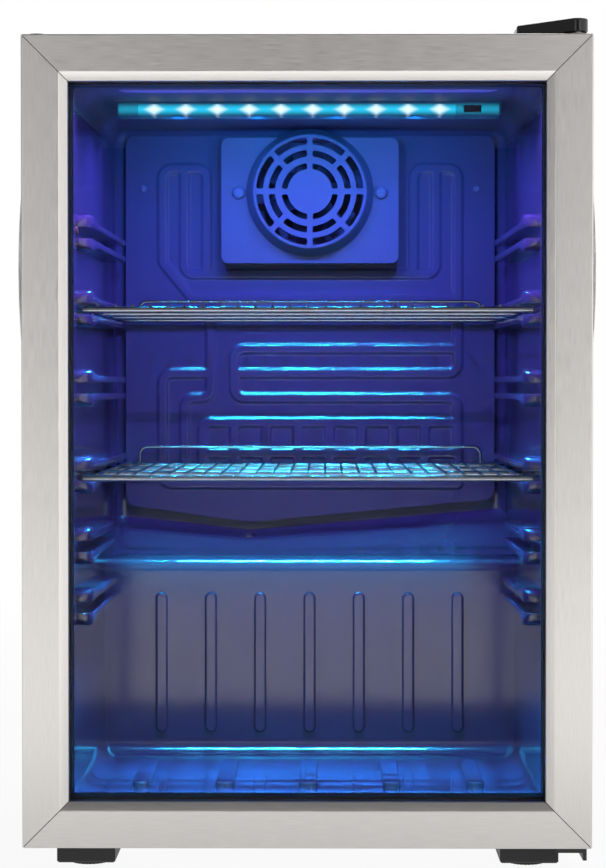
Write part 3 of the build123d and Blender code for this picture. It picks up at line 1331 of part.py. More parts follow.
condenser_y = REAR - 2 * CONDENSER_WIRE - PIN_PLAY - LINE_RADIUS
condenser_low = BAY_TOP + CONDENSER_CLEAR
condenser_high = CABINET_TOP - CONDENSER_TOP_GAP
condenser_pitch = (condenser_high - condenser_low) / (CONDENSER_PASSES - 1)
condenser_half = HALF_WIDTH - CONDENSER_MARGIN
riser_x = stub_end + RISER_SPACE
downcomer_x = -(condenser_half + DOWNCOMER_SPACE)
drier_y = condenser_y - DRIER_SETBACK
drier_top = BAY_TOP - DRIER_DROP


def condenser_points():
    """Route of the condenser tube: compressor, riser, back-and-forth passes, and down to the drier."""
    points = [
        (stub_end, discharge_y, discharge_z),
        (riser_x, discharge_y, discharge_z),
        (riser_x, condenser_y, discharge_z),
        (riser_x, condenser_y, condenser_low),
    ]
    for index in range(CONDENSER_PASSES - 1):
        side = 1 if index % 2 == 0 else -1
        height = condenser_low + index * condenser_pitch
        points.append((side * condenser_half, condenser_y, height))
        points.append((side * condenser_half, condenser_y, height + condenser_pitch))
    points.append((downcomer_x, condenser_y, condenser_high))
    points.append((downcomer_x, condenser_y, drier_top + DRIER_LEAD))
    points.append((downcomer_x, drier_y, drier_top + DRIER_LEAD))
    points.append((downcomer_x, drier_y, drier_top))
    return points


condenser_tube = bent_tube(condenser_points(), LINE_RADIUS, LINE_BEND)
wire_offset = LINE_RADIUS + PIN_PLAY + CONDENSER_WIRE
wire_count = int(2 * (condenser_half - LINE_BEND) / CONDENSER_WIRE_PITCH) + 1
wire_first = -(wire_count - 1) / 2 * CONDENSER_WIRE_PITCH
wire_low = condenser_low - CONDENSER_WIRE_OVERHANG
wire_high = condenser_high + CONDENSER_WIRE_OVERHANG
wire_places = [
    (wire_first + index * CONDENSER_WIRE_PITCH, condenser_y + side * wire_offset)
    for index in range(wire_count)
    for side in (-1, 1)
]
condenser_wires = group(rod((x, y, wire_low), (x, y, wire_high), CONDENSER_WIRE) for x, y in wire_places)


def condenser_bracket(x, height):
    """Folded clip between the back panel and one pass of the condenser."""
    left = x - CLIP_HALF_WIDTH
    right = x + CLIP_HALF_WIDTH
    touch = condenser_y - LINE_RADIUS - PIN_PLAY
    clip = block(left, right, CABINET_BACK, touch, height - CLIP_SHEET / 2, height + CLIP_SHEET / 2)
    foot_back = CABINET_BACK + CLIP_FOOT
    return clip + block(
        left, right, CABINET_BACK, foot_back, height - CLIP_FOOT_HALF, height + CLIP_FOOT_HALF
    )


bracket_x = wire_first + CONDENSER_WIRE_PITCH * 2.5
condenser_brackets = group(
    condenser_bracket(side * bracket_x, condenser_low + index * condenser_pitch)
    for side in (-1, 1)
    for index in (1, CONDENSER_PASSES - 2)
)

drier_place = (downcomer_x, drier_y)
drier_shoulder = drier_top - DRIER_NECK
filter_drier = rod(drier_place + (drier_top - DRIER_LENGTH,), drier_place + (drier_shoulder,), DRIER_RADIUS)
filter_drier = fillet(filter_drier.edges().filter_by(GeomType.CIRCLE), DRIER_ROUND)
neck_root = drier_shoulder - DRIER_NECK_ROOT
filter_drier += rod(drier_place + (neck_root,), drier_place + (drier_top,), DRIER_NECK_RADIUS)

control_right = HALF_WIDTH - CONTROL_INSET
control_left = control_right - CONTROL_WIDTH
control_y = CABINET_BACK - CONTROL_SETBACK
control_back = control_y + BASE_SHEET
thermostat_x = control_right - THERMOSTAT_INSET
gland_x = control_left + GLAND_INSET
gland_z = BASE_TOP + GLAND_RISE
thermostat_z = BASE_TOP + THERMOSTAT_RISE
stem_end = control_y - KNOB_SHAFT_REACH


def knob_rod(start, end, radius):
    """Round bar on the thermostat's axis between two depths."""
    return rod((thermostat_x, start, thermostat_z), (thermostat_x, end, thermostat_z), radius)


def gland_rod(start, end, radius):
    """Round bar on the cord gland's axis between two depths."""
    return rod((gland_x, start, gland_z), (gland_x, end, gland_z), radius)


bracket_top = BASE_TOP + CONTROL_HEIGHT
bracket_foot_back = CABINET_BACK - CONTROL_FOOT_GAP
bracket_foot_top = BASE_TOP + BASE_SHEET
control_bracket = block(control_left, control_right, control_y, control_back, BASE_TOP, bracket_top)
control_bracket += block(
    control_left, control_right, control_y, bracket_foot_back, BASE_TOP, bracket_foot_top
)
control_bracket -= knob_rod(control_y - CUT_PAST, control_back + CUT_PAST, KNOB_SHAFT + PIN_PLAY)
control_bracket -= gland_rod(control_y - CUT_PAST, control_back + CUT_PAST, GLAND_RADIUS + FIT_GAP)

thermostat = block(
    thermostat_x - THERMOSTAT_WIDTH / 2,
    thermostat_x + THERMOSTAT_WIDTH / 2,
    control_y - THERMOSTAT_DEPTH,
    control_y,
    thermostat_z - THERMOSTAT_HEIGHT / 2,
    thermostat_z + THERMOSTAT_HEIGHT / 2,
)
thermostat -= knob_rod(stem_end - LOOSE_GAP, control_y + CUT_PAST, KNOB_SHAFT + PIN_PLAY)

knob_front = control_back + KNOB_GAP
knob_back = knob_front + KNOB_DEPTH
thermostat_knob = knob_rod(knob_front, knob_back, KNOB_RADIUS)
thermostat_knob = fillet(thermostat_knob.edges().filter_by(GeomType.CIRCLE).sort_by(Axis.Y)[-1], KNOB_ROUND)
thermostat_knob += block(
    thermostat_x - KNOB_BAR_WIDTH / 2,
    thermostat_x + KNOB_BAR_WIDTH / 2,
    knob_back - CUT_PAST,
    knob_back + KNOB_BAR_RISE,
    thermostat_z - KNOB_BAR_LENGTH / 2,
    thermostat_z + KNOB_BAR_LENGTH / 2,
)
thermostat_knob += knob_rod(stem_end, knob_front + CUT_PAST, KNOB_SHAFT)

gland_start = control_y - GLAND_INSIDE
gland_end = control_back + GLAND_OUTSIDE
cord_gland = gland_rod(gland_start, gland_end, GLAND_RADIUS)
cord_gland += gland_rod(control_back, control_back + GLAND_FLANGE, GLAND_FLANGE_RADIUS)
cord_gland -= gland_rod(gland_start - CUT_PAST, gland_end + CUT_PAST, GLAND_BORE)

# Feet: blocks screwed under the base, with a ribbed levelling foot screwed up into each front block
block_half = FOOT_BLOCK_WIDTH / 2
foot_x = HALF_WIDTH - FOOT_BLOCK_INSET - block_half
front_block_y = CABINET_FRONT + FOOT_BLOCK_SETBACK + FOOT_BLOCK_DEPTH / 2
rear_block_y = CABINET_BACK - FOOT_BLOCK_SETBACK - FOOT_BLOCK_DEPTH / 2
foot_screw_offset = FOOT_BLOCK_DEPTH / 2 - FOOT_SCREW_INSET
foot_screw_seat = CABINET_BOTTOM - FOOT_SCREW_DEPTH
foot_stud_top = CABINET_BOTTOM - FOOT_STUD_GAP


def foot_screw_places(side):
    """X, Y of the screws of the front and rear blocks on one side."""
    return [
        (side * foot_x, middle + offset)
        for middle in (front_block_y, rear_block_y)
        for offset in (-foot_screw_offset, foot_screw_offset)
    ]


def foot_block(side, middle, bottom):
    """Moulded block under one corner of the base, with two counterbored screw holes."""
    body = block(
        side * foot_x - block_half,
        side * foot_x + block_half,
        middle - FOOT_BLOCK_DEPTH / 2,
        middle + FOOT_BLOCK_DEPTH / 2,
        bottom,
        CABINET_BOTTOM,
    )
    body = chamfer(body.edges().group_by(Axis.Z)[0], FOOT_BLOCK_CHAMFER)
    for x, y in foot_screw_places(side):
        start = (x, y, bottom - CUT_PAST)
        body -= rod(start, (x, y, foot_screw_seat), HINGE_SCREW_HEAD + LOOSE_GAP)
        body -= rod(start, (x, y, CABINET_BOTTOM + CUT_PAST), HINGE_SCREW_RADIUS + FIT_GAP)
    return body


def front_foot_block(side):
    """Front block with the bore that takes the levelling foot's stud."""
    body = foot_block(side, front_block_y, FOOT_GAP)
    x = side * foot_x
    start = (x, front_block_y, FOOT_GAP - CUT_PAST)
    return body - rod(start, (x, front_block_y, foot_stud_top + LOOSE_GAP), FOOT_STUD_RADIUS + PIN_PLAY)


def levelling_foot(side):
    """Ribbed disc on a stud."""
    rib_circle = FOOT_DISC_RADIUS - FOOT_RIB_RADIUS
    disc = Circle(rib_circle)
    for index in range(FOOT_RIBS):
        disc += Rot(0, 0, 360 * index / FOOT_RIBS) * Pos(rib_circle, 0) * Circle(FOOT_RIB_RADIUS)
    x = side * foot_x
    foot = layer(Pos(x, front_block_y) * disc, 0, FOOT_DISC_HEIGHT)
    stud_root = (x, front_block_y, FOOT_DISC_HEIGHT - CUT_PAST)
    return foot + rod(stud_root, (x, front_block_y, foot_stud_top), FOOT_STUD_RADIUS)


front_foot_blocks = group([front_foot_block(-1), front_foot_block(1)])
rear_feet = group([foot_block(-1, rear_block_y, 0), foot_block(1, rear_block_y, 0)])
levelling_foot_left = levelling_foot(-1)
levelling_foot_right = levelling_foot(1)

foot_places = foot_screw_places(-1) + foot_screw_places(1)
foot_screw_length = BASE_TOP - foot_screw_seat
foot_screws = group(
    screw(
        (x, y, foot_screw_seat),
        (0, 0, -1),
        HINGE_SCREW_RADIUS,
        foot_screw_length,
        HINGE_SCREW_HEAD,
        HINGE_SCREW_HEAD_HEIGHT,
    )
    for x, y in foot_places
)
base_plate -= shank_holes(foot_places, CABINET_BOTTOM - CUT_PAST, BASE_TOP + CUT_PAST)

# One file for each piece
nodes = {
    "cabinet_wrap": cabinet_wrap,
    "base_plate": base_plate,
    "back_panel": back_panel,
    "machine_bay_panel": machine_bay_panel,
    "inner_liner": inner_liner,
    "foam_insulation": foam_insulation,
    "wall_plug": wall_plug,
    "evaporator_plate": evaporator_plate,
    "evaporator_screws": evaporator_screws,
    "fan_cover": fan_cover,
    "fan_cover_screws": fan_cover_screws,
    "fan_bracket": fan_bracket,
    "fan_motor": fan_motor,
    "fan_shaft": fan_shaft,
    "fan_blades": fan_blades,
    "drain_tube": drain_tube,
    "light_base": light_base,
    "light_lens": light_lens,
    "led_board": led_board,
    "leds": leds,
    "light_switch": light_switch,
    "upper_shelf": upper_shelf,
    "lower_shelf": lower_shelf,
    "trim_top": trim_top,
    "trim_bottom": trim_bottom,
    "trim_left": trim_left,
    "trim_right": trim_right,
    "door_frame": door_frame,
    "outer_glass": outer_glass,
    "inner_glass": inner_glass,
    "glass_spacer": glass_spacer,
    "door_gasket": door_gasket,
    "gasket_magnets": gasket_magnets,
    "handle_left": handle_left,
    "handle_right": handle_right,
    "hinge_bushes": hinge_bushes,
    "spare_hole_plugs": spare_hole_plugs,
    "upper_hinge_bracket": upper_hinge_bracket,
    "upper_hinge_cover": upper_hinge_cover,
    "lower_hinge_bracket": lower_hinge_bracket,
    "hinge_pins": hinge_pins,
    "hinge_screws": hinge_screws,
    "compressor": compressor,
    "compressor_grommets": compressor_grommets,
    "relay_cover": relay_cover,
    "drip_tray": drip_tray,
    "condenser_tube": condenser_tube,
    "condenser_wires": condenser_wires,
    "condenser_brackets": condenser_brackets,
    "filter_drier": filter_drier,
    "suction_tube": suction_tube,
    "control_bracket": control_bracket,
    "thermostat": thermostat,
    "thermostat_knob": thermostat_knob,
    "cord_gland": cord_gland,
    "front_foot_blocks": front_foot_blocks,
    "levelling_foot_left": levelling_foot_left,
    "levelling_foot_right": levelling_foot_right,
    "rear_feet": rear_feet,
    "foot_screws": foot_screws,
}
os.makedirs("parts", exist_ok=True)
for name, shape in nodes.items():
    export_step(shape, os.path.join("parts", name + ".step"))
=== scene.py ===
import math

import bmesh
import bpy
import numpy as np
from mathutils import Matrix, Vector


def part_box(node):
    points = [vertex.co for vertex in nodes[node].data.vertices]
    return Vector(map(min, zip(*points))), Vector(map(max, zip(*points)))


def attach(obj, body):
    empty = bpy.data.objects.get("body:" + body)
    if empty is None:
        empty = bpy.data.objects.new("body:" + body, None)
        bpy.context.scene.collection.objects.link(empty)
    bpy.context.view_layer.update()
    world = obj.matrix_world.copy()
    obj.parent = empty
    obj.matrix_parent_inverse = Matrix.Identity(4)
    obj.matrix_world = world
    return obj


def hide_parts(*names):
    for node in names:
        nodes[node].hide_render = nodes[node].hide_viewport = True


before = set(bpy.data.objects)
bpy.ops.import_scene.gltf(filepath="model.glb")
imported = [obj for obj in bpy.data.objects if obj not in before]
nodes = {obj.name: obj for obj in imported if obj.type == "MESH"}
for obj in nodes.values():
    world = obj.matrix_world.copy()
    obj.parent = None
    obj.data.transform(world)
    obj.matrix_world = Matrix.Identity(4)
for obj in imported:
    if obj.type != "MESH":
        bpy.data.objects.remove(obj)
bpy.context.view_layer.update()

# Cabinet shell: one folded steel sheet round the sides and top, and a flat sheet across the back.
# Both are powder coated in satin black, and the coat dries with a fine orange-peel texture.
PAINT_BLACK = (0.013, 0.013, 0.014)
ORANGE_PEEL = 420.0


def grain_group():
    """Unevenness of a made surface: fine noise is a height, broad noise shifts colour and roughness."""
    group = bpy.data.node_groups.new("surface_grain", "ShaderNodeTree")
    socket = group.interface.new_socket
    socket("Colour", in_out="INPUT", socket_type="NodeSocketColor")
    for name in ("Grain Scale", "Patch Scale", "Fade", "Roughness", "Spread"):
        socket(name, in_out="INPUT", socket_type="NodeSocketFloat")
    socket("Colour", in_out="OUTPUT", socket_type="NodeSocketColor")
    socket("Roughness", in_out="OUTPUT", socket_type="NodeSocketFloat")
    socket("Height", in_out="OUTPUT", socket_type="NodeSocketFloat")
    given = group.nodes.new("NodeGroupInput")
    result = group.nodes.new("NodeGroupOutput")
    place = group.nodes.new("ShaderNodeTexCoord")
    grain = group.nodes.new("ShaderNodeTexNoise")
    patch = group.nodes.new("ShaderNodeTexNoise")
    patch.inputs["Detail"].default_value = 5.0
    faded = group.nodes.new("ShaderNodeMix")
    faded.data_type = "RGBA"
    faded.blend_type = "MULTIPLY"
    middle = group.nodes.new("ShaderNodeMath")
    middle.operation = "SUBTRACT"
    middle.inputs[1].default_value = 0.5
    rough = group.nodes.new("ShaderNodeMath")
    rough.operation = "MULTIPLY_ADD"
    rough.use_clamp = True
    link = group.links.new
    link(place.outputs["Object"], grain.inputs["Vector"])
    link(place.outputs["Object"], patch.inputs["Vector"])
    link(given.outputs["Grain Scale"], grain.inputs["Scale"])
    link(given.outputs["Patch Scale"], patch.inputs["Scale"])
    link(given.outputs["Fade"], faded.inputs["Factor"])
    link(given.outputs["Colour"], faded.inputs["A"])
    link(patch.outputs[0], faded.inputs["B"])
    link(patch.outputs[0], middle.inputs[0])
    link(middle.outputs[0], rough.inputs[0])
    link(given.outputs["Spread"], rough.inputs[1])
    link(given.outputs["Roughness"], rough.inputs[2])
    link(faded.outputs["Result"], result.inputs["Colour"])
    link(rough.outputs[0], result.inputs["Roughness"])
    link(grain.outputs[0], result.inputs["Height"])
    return group


GRAIN = grain_group()


def textured(name, group, values, metallic, depth):
    """Material whose colour, roughness and bump come from a node group with the given input values."""
    material = bpy.data.materials.new(name)
    material.use_nodes = True
    tree = material.node_tree
    shader = tree.nodes["Principled BSDF"]
    shader.inputs["Metallic"].default_value = metallic
    texture = tree.nodes.new("ShaderNodeGroup")
    texture.node_tree = group
    for socket, value in values.items():
        texture.inputs[socket].default_value = value
    bump = tree.nodes.new("ShaderNodeBump")
    bump.inputs["Distance"].default_value = depth
    tree.links.new(texture.outputs["Colour"], shader.inputs["Base Color"])
    tree.links.new(texture.outputs["Roughness"], shader.inputs["Roughness"])
    tree.links.new(texture.outputs["Height"], bump.inputs["Height"])
    tree.links.new(bump.outputs["Normal"], shader.inputs["Normal"])
    return material


def finish(
    name, colour, roughness, metallic=0.0, grain=300.0, patch=40.0, fade=0.15, spread=0.08, depth=2e-5
):
    """Material with the unevenness of the surface grain group."""
    values = {
        "Colour": (*colour, 1.0),
        "Grain Scale": grain,
        "Patch Scale": patch,
        "Fade": fade,
        "Roughness": roughness,
        "Spread": spread,
    }
    return textured(name, GRAIN, values, metallic, depth)


def dress(material, *names):
    """Give CAD pieces a finish in place of their plain one."""
    for name in names:
        nodes[name].data.materials.clear()
        nodes[name].data.materials.append(material)


black_paint = finish("satin_black_paint", PAINT_BLACK, roughness=0.4, grain=ORANGE_PEEL, depth=6e-5)
dress(black_paint, "cabinet_wrap", "back_panel")

# Base plate and machine bay step: bare zinc-coated sheet, folded, with a dull spangled bloom.
# The control bracket in the bay is punched from the same sheet.
ZINC = (0.47, 0.48, 0.49)
zinc_sheet = finish(
    "zinc_sheet", ZINC, roughness=0.42, metallic=1.0, grain=90.0, patch=60.0, fade=0.35, spread=0.3
)
dress(zinc_sheet, "base_plate", "machine_bay_panel", "control_bracket")

# Foam: pale polyurethane blown between shell and liner, which nothing outside shows.
# A plastic plug closes the hole in the left wall that a sensor would use.
FOAM_YELLOW = (0.72, 0.58, 0.30)
PLUG_BROWN = (0.16, 0.09, 0.045)
dress(finish("blown_foam", FOAM_YELLOW, roughness=0.9, grain=260.0, depth=3e-4), "foam_insulation")
dress(finish("brown_plug", PLUG_BROWN, roughness=0.5), "wall_plug")

# Liner: one sheet of black plastic drawn over a mould, with rails, hump, ribs and floor pads in it.
# Drawing leaves it glossy and slightly wavy. Its ceiling is matt, because it shows no image of the light.
LINER_BLACK = (0.064, 0.047, 0.062)
LINER_GLOSS = 0.75
MATT_HEIGHT = 0.605
MATT_BLEND = 0.02
MATT_EXTRA = 0.45
liner_plastic = finish(
    "liner_plastic", LINER_BLACK, roughness=0.13, grain=24.0, fade=0.1, spread=0.05, depth=4e-5
)
liner_plastic.node_tree.nodes["Principled BSDF"].inputs["Specular IOR Level"].default_value = LINER_GLOSS
dress(liner_plastic, "inner_liner")


def math_node(tree, operation, first, second):
    """Math node on two inputs, each a number or an output of another node."""
    node = tree.nodes.new("ShaderNodeMath")
    node.operation = operation
    for socket, value in zip(node.inputs, (first, second)):
        if isinstance(value, (int, float)):
            socket.default_value = value
        else:
            tree.links.new(value, socket)
    return node.outputs[0]


def ramp_node(tree, value, start, end, low=0.0, high=1.0):
    """Smooth step of a value: low at start, high at end."""
    node = tree.nodes.new("ShaderNodeMapRange")
    node.interpolation_type = "SMOOTHSTEP"
    node.inputs["From Min"].default_value = start
    node.inputs["From Max"].default_value = end
    node.inputs["To Min"].default_value = low
    node.inputs["To Max"].default_value = high
    tree.links.new(value, node.inputs["Value"])
    return node.outputs["Result"]


def matt_above(material, height, blend, extra):
    """Roughen a material's surface smoothly above a height."""
    tree = material.node_tree
    shader = tree.nodes["Principled BSDF"]
    place = tree.nodes.new("ShaderNodeTexCoord")
    split = tree.nodes.new("ShaderNodeSeparateXYZ")
    tree.links.new(place.outputs["Object"], split.inputs[0])
    added = ramp_node(tree, split.outputs["Z"], height, height + blend, 0.0, extra)
    rough = math_node(tree, "ADD", shader.inputs["Roughness"].links[0].from_socket, added)
    tree.links.new(rough, shader.inputs["Roughness"])


matt_above(liner_plastic, MATT_HEIGHT, MATT_BLEND, MATT_EXTRA)

# Ceiling ridges: two shallow half-round ridges that the mould presses into the liner's ceiling.
# Their plastic is painted paler than the rest of the sheet as a painted highlight, for the light lines that
# the lamps' reflection draws along them.
RIDGE_HIGHLIGHT_PALE = (0.32, 0.28, 0.36)
RIDGE_HALF_LENGTH = 0.158
RIDGE_DEPTHS = (-0.186, -0.130)
RIDGE_HEIGHT = 0.0022
RIDGE_HALF_WIDTH = 0.004
RIDGE_SINK = 0.0004
RIDGE_END_POWER = 24
LINER_SLOPE = math.tan(math.radians(0.8))
CEILING_WALL = 0.032
# The pale ridge colour is a painted highlight that stands in for the lamps' reflection on the ridges.
ridge_highlight_plastic = finish("ridge_highlight_plastic", RIDGE_HIGHLIGHT_PALE, roughness=0.3, grain=60.0)
liner_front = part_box("inner_liner")[0].y
ceiling_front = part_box("cabinet_wrap")[1].z - CEILING_WALL


def grid_faces(rows, columns, close_columns=False):
    """Corner numbers of the squares between the points of a grid, whose rows may be closed rings."""
    number = np.arange(rows * columns).reshape(rows, columns)
    if close_columns:
        number = np.hstack([number, number[:, :1]])
    corners = [number[:-1, :-1], number[:-1, 1:], number[1:, 1:], number[1:, :-1]]
    return np.stack(corners, axis=-1).reshape(-1, 4)


def surface(name, points, close_columns=False):
    """Mesh through a grid of points, whose rows may be closed rings."""
    rows, columns = points.shape[:2]
    mesh = bpy.data.meshes.new(name)
    faces = grid_faces(rows, columns, close_columns)
    mesh.from_pydata(points.reshape(-1, 3).tolist(), [], faces.tolist())
    mesh.update()
    return mesh


def outwards(mesh, crease=40.0):
    """Turn a closed mesh's faces outwards, after joining points that coincide, and shade it."""
    work = bmesh.new()
    work.from_mesh(mesh)
    bmesh.ops.remove_doubles(work, verts=work.verts, dist=1e-6)
    bmesh.ops.recalc_face_normals(work, faces=work.faces)
    work.to_mesh(mesh)
    work.free()
    mesh.shade_smooth()
    mesh.set_sharp_from_angle(angle=math.radians(crease))
    return mesh


def add_piece(mesh, body, material, slot, *replaced):
    """Object at the origin for a mesh, riding on a body and standing for the named CAD pieces."""
    piece = bpy.data.objects.new(mesh.name, mesh)
    bpy.context.scene.collection.objects.link(piece)
    mesh.materials.append(material)
    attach(piece, body)
    if replaced:
        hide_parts(*replaced)
    return piece


def ceiling_ridge(name, depth, ceiling):
    """Half-round ridge under the ceiling: a half circle carried along X that fades at both ends."""
    along = np.linspace(-1, 1, 41)
    turn = np.linspace(0, math.pi, 13)
    swell = np.sqrt(np.clip(1 - np.abs(along) ** RIDGE_END_POWER, 0, 1))
    x = np.outer(along * RIDGE_HALF_LENGTH, np.ones_like(turn))
    y = depth + np.outer(swell, RIDGE_HALF_WIDTH * np.cos(turn))
    z = ceiling + RIDGE_SINK - np.outer(swell, RIDGE_HEIGHT * np.sin(turn))
    return outwards(surface(name, np.stack([x, y, z], axis=-1), close_columns=True))


for number, depth in enumerate(RIDGE_DEPTHS, start=1):
    ceiling = ceiling_front - (depth - liner_front) * LINER_SLOPE
    ridge = ceiling_ridge(f"ceiling_ridge_{number}", depth, ceiling)
    add_piece(ridge, "cabinet", ridge_highlight_plastic, "liner_black")

# Hump cove: the hollow bend where the liner's sheet turns from the floor up the front of the hump.
# The mould's rounded corner makes it, in the same plastic.
COVE_RADIUS = 0.012
COVE_HALF_LENGTH = 0.1857
COVE_SINK = 0.0005
HUMP_FACE = 0.064
FLOOR_AT_HUMP = 0.0576


def hump_cove():
    """Hollow quarter round in the corner of hump and floor: a quarter circle carried along X."""
    turn = np.linspace(0, math.pi / 2, 13)
    x = np.linspace(-COVE_HALF_LENGTH, COVE_HALF_LENGTH, 9)
    y = np.append(HUMP_FACE - COVE_RADIUS * (1 - np.sin(turn)), HUMP_FACE + COVE_SINK)
    z = np.append(FLOOR_AT_HUMP + COVE_RADIUS * (1 - np.cos(turn)), FLOOR_AT_HUMP - COVE_SINK)
    points = np.stack(np.broadcast_arrays(x[:, None], y, z), axis=-1)
    return outwards(surface("hump_cove", points, close_columns=True))


add_piece(hump_cove(), "cabinet", liner_plastic, "liner_black")

# Shelf rails: pairs of tongues drawn in both side walls of the liner, with a shelf's rods between them.
# The pairs stand at six heights, and each tongue has a rounded nose at the front.
RAIL_HEIGHTS = (0.2040, 0.2540, 0.3120, 0.3830, 0.4480, 0.5100)
RAIL_SLOT = 0.009
RAIL_GAP = 0.00015
RAIL_REACH = 0.0127
RAIL_SINK = 0.0006
RAIL_THICKNESS = 0.0062
RAIL_BULGE = 0.005
BULGE_PLACE = 0.016
BULGE_SPREAD = 0.026
RAIL_START = -0.160
RAIL_NOSE = 0.013
RAIL_TAIL = 0.004
RAIL_END_LOW = 0.0445
RAIL_END_HIGH = 0.148
HUMP_ROOF = 0.27
SECTION_POWER = 0.35
NOSE_CROWDING = 1.6
WALL_HALF = 0.1890


def round_end(distance, reach):
    """Quarter circle from nothing at an end to full at a reach from it."""
    share = np.clip(distance / reach, 0, 1)
    return np.sqrt(np.clip(1 - (1 - share) ** 2, 0, 1))


def rail_tongue(side, level, upward, end):
    """Half superellipse on the wall, carried back along it.

    It grows as a quarter circle behind its nose, and a bell curve of the depth adds a bulge there.
    """
    y = RAIL_START + (end - RAIL_START) * np.linspace(0, 1, 41) ** NOSE_CROWDING
    from_nose = y - RAIL_START
    fullness = round_end(from_nose, RAIL_NOSE) * round_end(end - y, RAIL_TAIL)
    wall = WALL_HALF - (y - liner_front) * LINER_SLOPE
    bulge = RAIL_BULGE * np.exp(-((from_nose - BULGE_PLACE) / BULGE_SPREAD) ** 2)
    height = (RAIL_THICKNESS + bulge) * np.sqrt(fullness)
    reach = RAIL_REACH * fullness + RAIL_SINK * np.sqrt(fullness)
    turn = np.linspace(-math.pi / 2, math.pi / 2, 19)
    out = np.cos(turn) ** SECTION_POWER
    rise = (1 + np.sign(np.sin(turn)) * np.abs(np.sin(turn)) ** SECTION_POWER) / 2
    x = side * (wall[:, None] + RAIL_SINK - np.outer(reach, out))
    z = level + upward * np.outer(height, rise)
    return np.stack([x, np.broadcast_to(y[:, None], x.shape), z], axis=-1)


def rail_tongues():
    """Pairs of tongues at each shelf height on both walls: the lower swells down, the upper up."""
    points = []
    for height in RAIL_HEIGHTS:
        end = RAIL_END_HIGH if height > HUMP_ROOF else RAIL_END_LOW
        for side in (-1, 1):
            points.append(rail_tongue(side, height + RAIL_GAP, -1, end))
            points.append(rail_tongue(side, height + RAIL_SLOT - RAIL_GAP, 1, end))
    rows, columns = points[0].shape[:2]
    tongue_faces = grid_faces(rows, columns, close_columns=True)
    faces = [tongue_faces + index * rows * columns for index in range(len(points))]
    mesh = bpy.data.meshes.new("shelf_rails")
    mesh.from_pydata(np.concatenate(points).reshape(-1, 3).tolist(), [], np.concatenate(faces).tolist())
    mesh.update()
    return outwards(mesh, crease=60.0)


add_piece(rail_tongues(), "cabinet", liner_plastic, "liner_black")

# Cold plate: two bonded aluminium sheets with refrigerant channels blown up between them, painted dark.
# The channels stand about 2 mm proud with soft shoulders; screws hold the plate to bosses on the back wall.
PLATE_DARK = (0.060, 0.048, 0.064)
CHANNEL_HALF = 0.0043
CHANNEL_SHOULDER = 0.0008
CHANNEL_RISE = 0.0019
CHANNEL_BEND = 0.009
BEND_SHARE = 0.49
PLATE_CORNER = 0.008
PLATE_SHEET = 0.0014
PLATE_STEP = 0.00125
PLATE_FOOT_LEFT = 0.01606
PLATE_FOOT_RIGHT = 0.021762
DRAIN_X = -0.057
OUTER, MIDDLE, INNER = 0.1385, 0.118, 0.097
LOOP, TURN, GRID = -0.0935, -0.071, -0.101
HEAD, FAN_RUN, LOW_RUN, BEVEL = 0.030, 0.129, 0.151, 0.118
RUNS = (0.199, 0.222, 0.245, 0.268)
FOOT = 0.326
GRID_PITCH = 0.0298
BEVEL_RUN = 0.027
TAIL = 0.010
plate_low, plate_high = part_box("evaporator_plate")


def channel_lines():
    """Centre lines of the channels as X and the drop below the plate's top edge."""
    first, second, third, fourth = RUNS
    half_grid = (fourth + FOOT) / 2
    left = [(-INNER, FAN_RUN), (-INNER, HEAD), (-OUTER, HEAD), (-OUTER, BEVEL)]
    lines = [
        left + [(BEVEL_RUN - OUTER, LOW_RUN), (OUTER, LOW_RUN)],
        [(INNER, FAN_RUN), (INNER, HEAD), (OUTER, HEAD), (OUTER, second), (TURN, second)],
        [(-MIDDLE, HEAD), (-MIDDLE, FAN_RUN), (MIDDLE, FAN_RUN), (MIDDLE, HEAD)],
        [(TURN, third - TAIL), (TURN, first), (OUTER, first)],
        [(TURN, first + TAIL), (TURN, third), (OUTER, third), (OUTER, FOOT)],
        [(OUTER, fourth), (GRID, fourth), (GRID, FOOT), (OUTER, FOOT)],
        [(LOOP, LOW_RUN), (LOOP, third), (-MIDDLE, third), (-MIDDLE, FOOT)],
        [(LOOP, second), (-OUTER, second), (-OUTER, FOOT), (GRID, FOOT)],
        [(GRID, half_grid), (OUTER, half_grid)],
    ]
    columns = [GRID + column * GRID_PITCH for column in range(1, 8)]
    return lines + [[(x, fourth), (x, FOOT)] for x in columns]


def rounded(points, radius, steps=7):
    """Polyline with each corner replaced by an arc tangent to both of its runs."""
    points = [np.array(point) for point in points]
    path = [points[0]]
    for before, corner, after in zip(points, points[1:], points[2:]):
        run_before = np.linalg.norm(before - corner)
        run_after = np.linalg.norm(after - corner)
        back = (before - corner) / run_before
        ahead = (after - corner) / run_after
        half = math.acos(np.clip(back @ ahead, -1, 1)) / 2
        reach = min(radius / math.tan(half), BEND_SHARE * min(run_before, run_after))
        middle = corner + (back + ahead) / np.linalg.norm(back + ahead) * reach / math.cos(half)
        start = corner + back * reach - middle
        end = corner + ahead * reach - middle
        for share in np.linspace(0, 1, steps):
            spoke = start * (1 - share) + end * share
            path.append(middle + spoke / np.linalg.norm(spoke) * np.linalg.norm(start))
    return np.array(path + [points[-1]])


def distance_to_lines(x, drop, lines):
    """Shortest distance from each grid point to any run of the given polylines."""
    nearest = np.full(x.shape, 1.0)
    for line in lines:
        path = rounded(line, CHANNEL_BEND)
        for start, end in zip(path, path[1:]):
            run = end - start
            share = ((x - start[0]) * run[0] + (drop - start[1]) * run[1]) / max(run @ run, 1e-12)
            share = np.clip(share, 0, 1)
            gap = np.hypot(x - start[0] - share * run[0], drop - start[1] - share * run[1])
            nearest = np.minimum(nearest, gap)
    return nearest


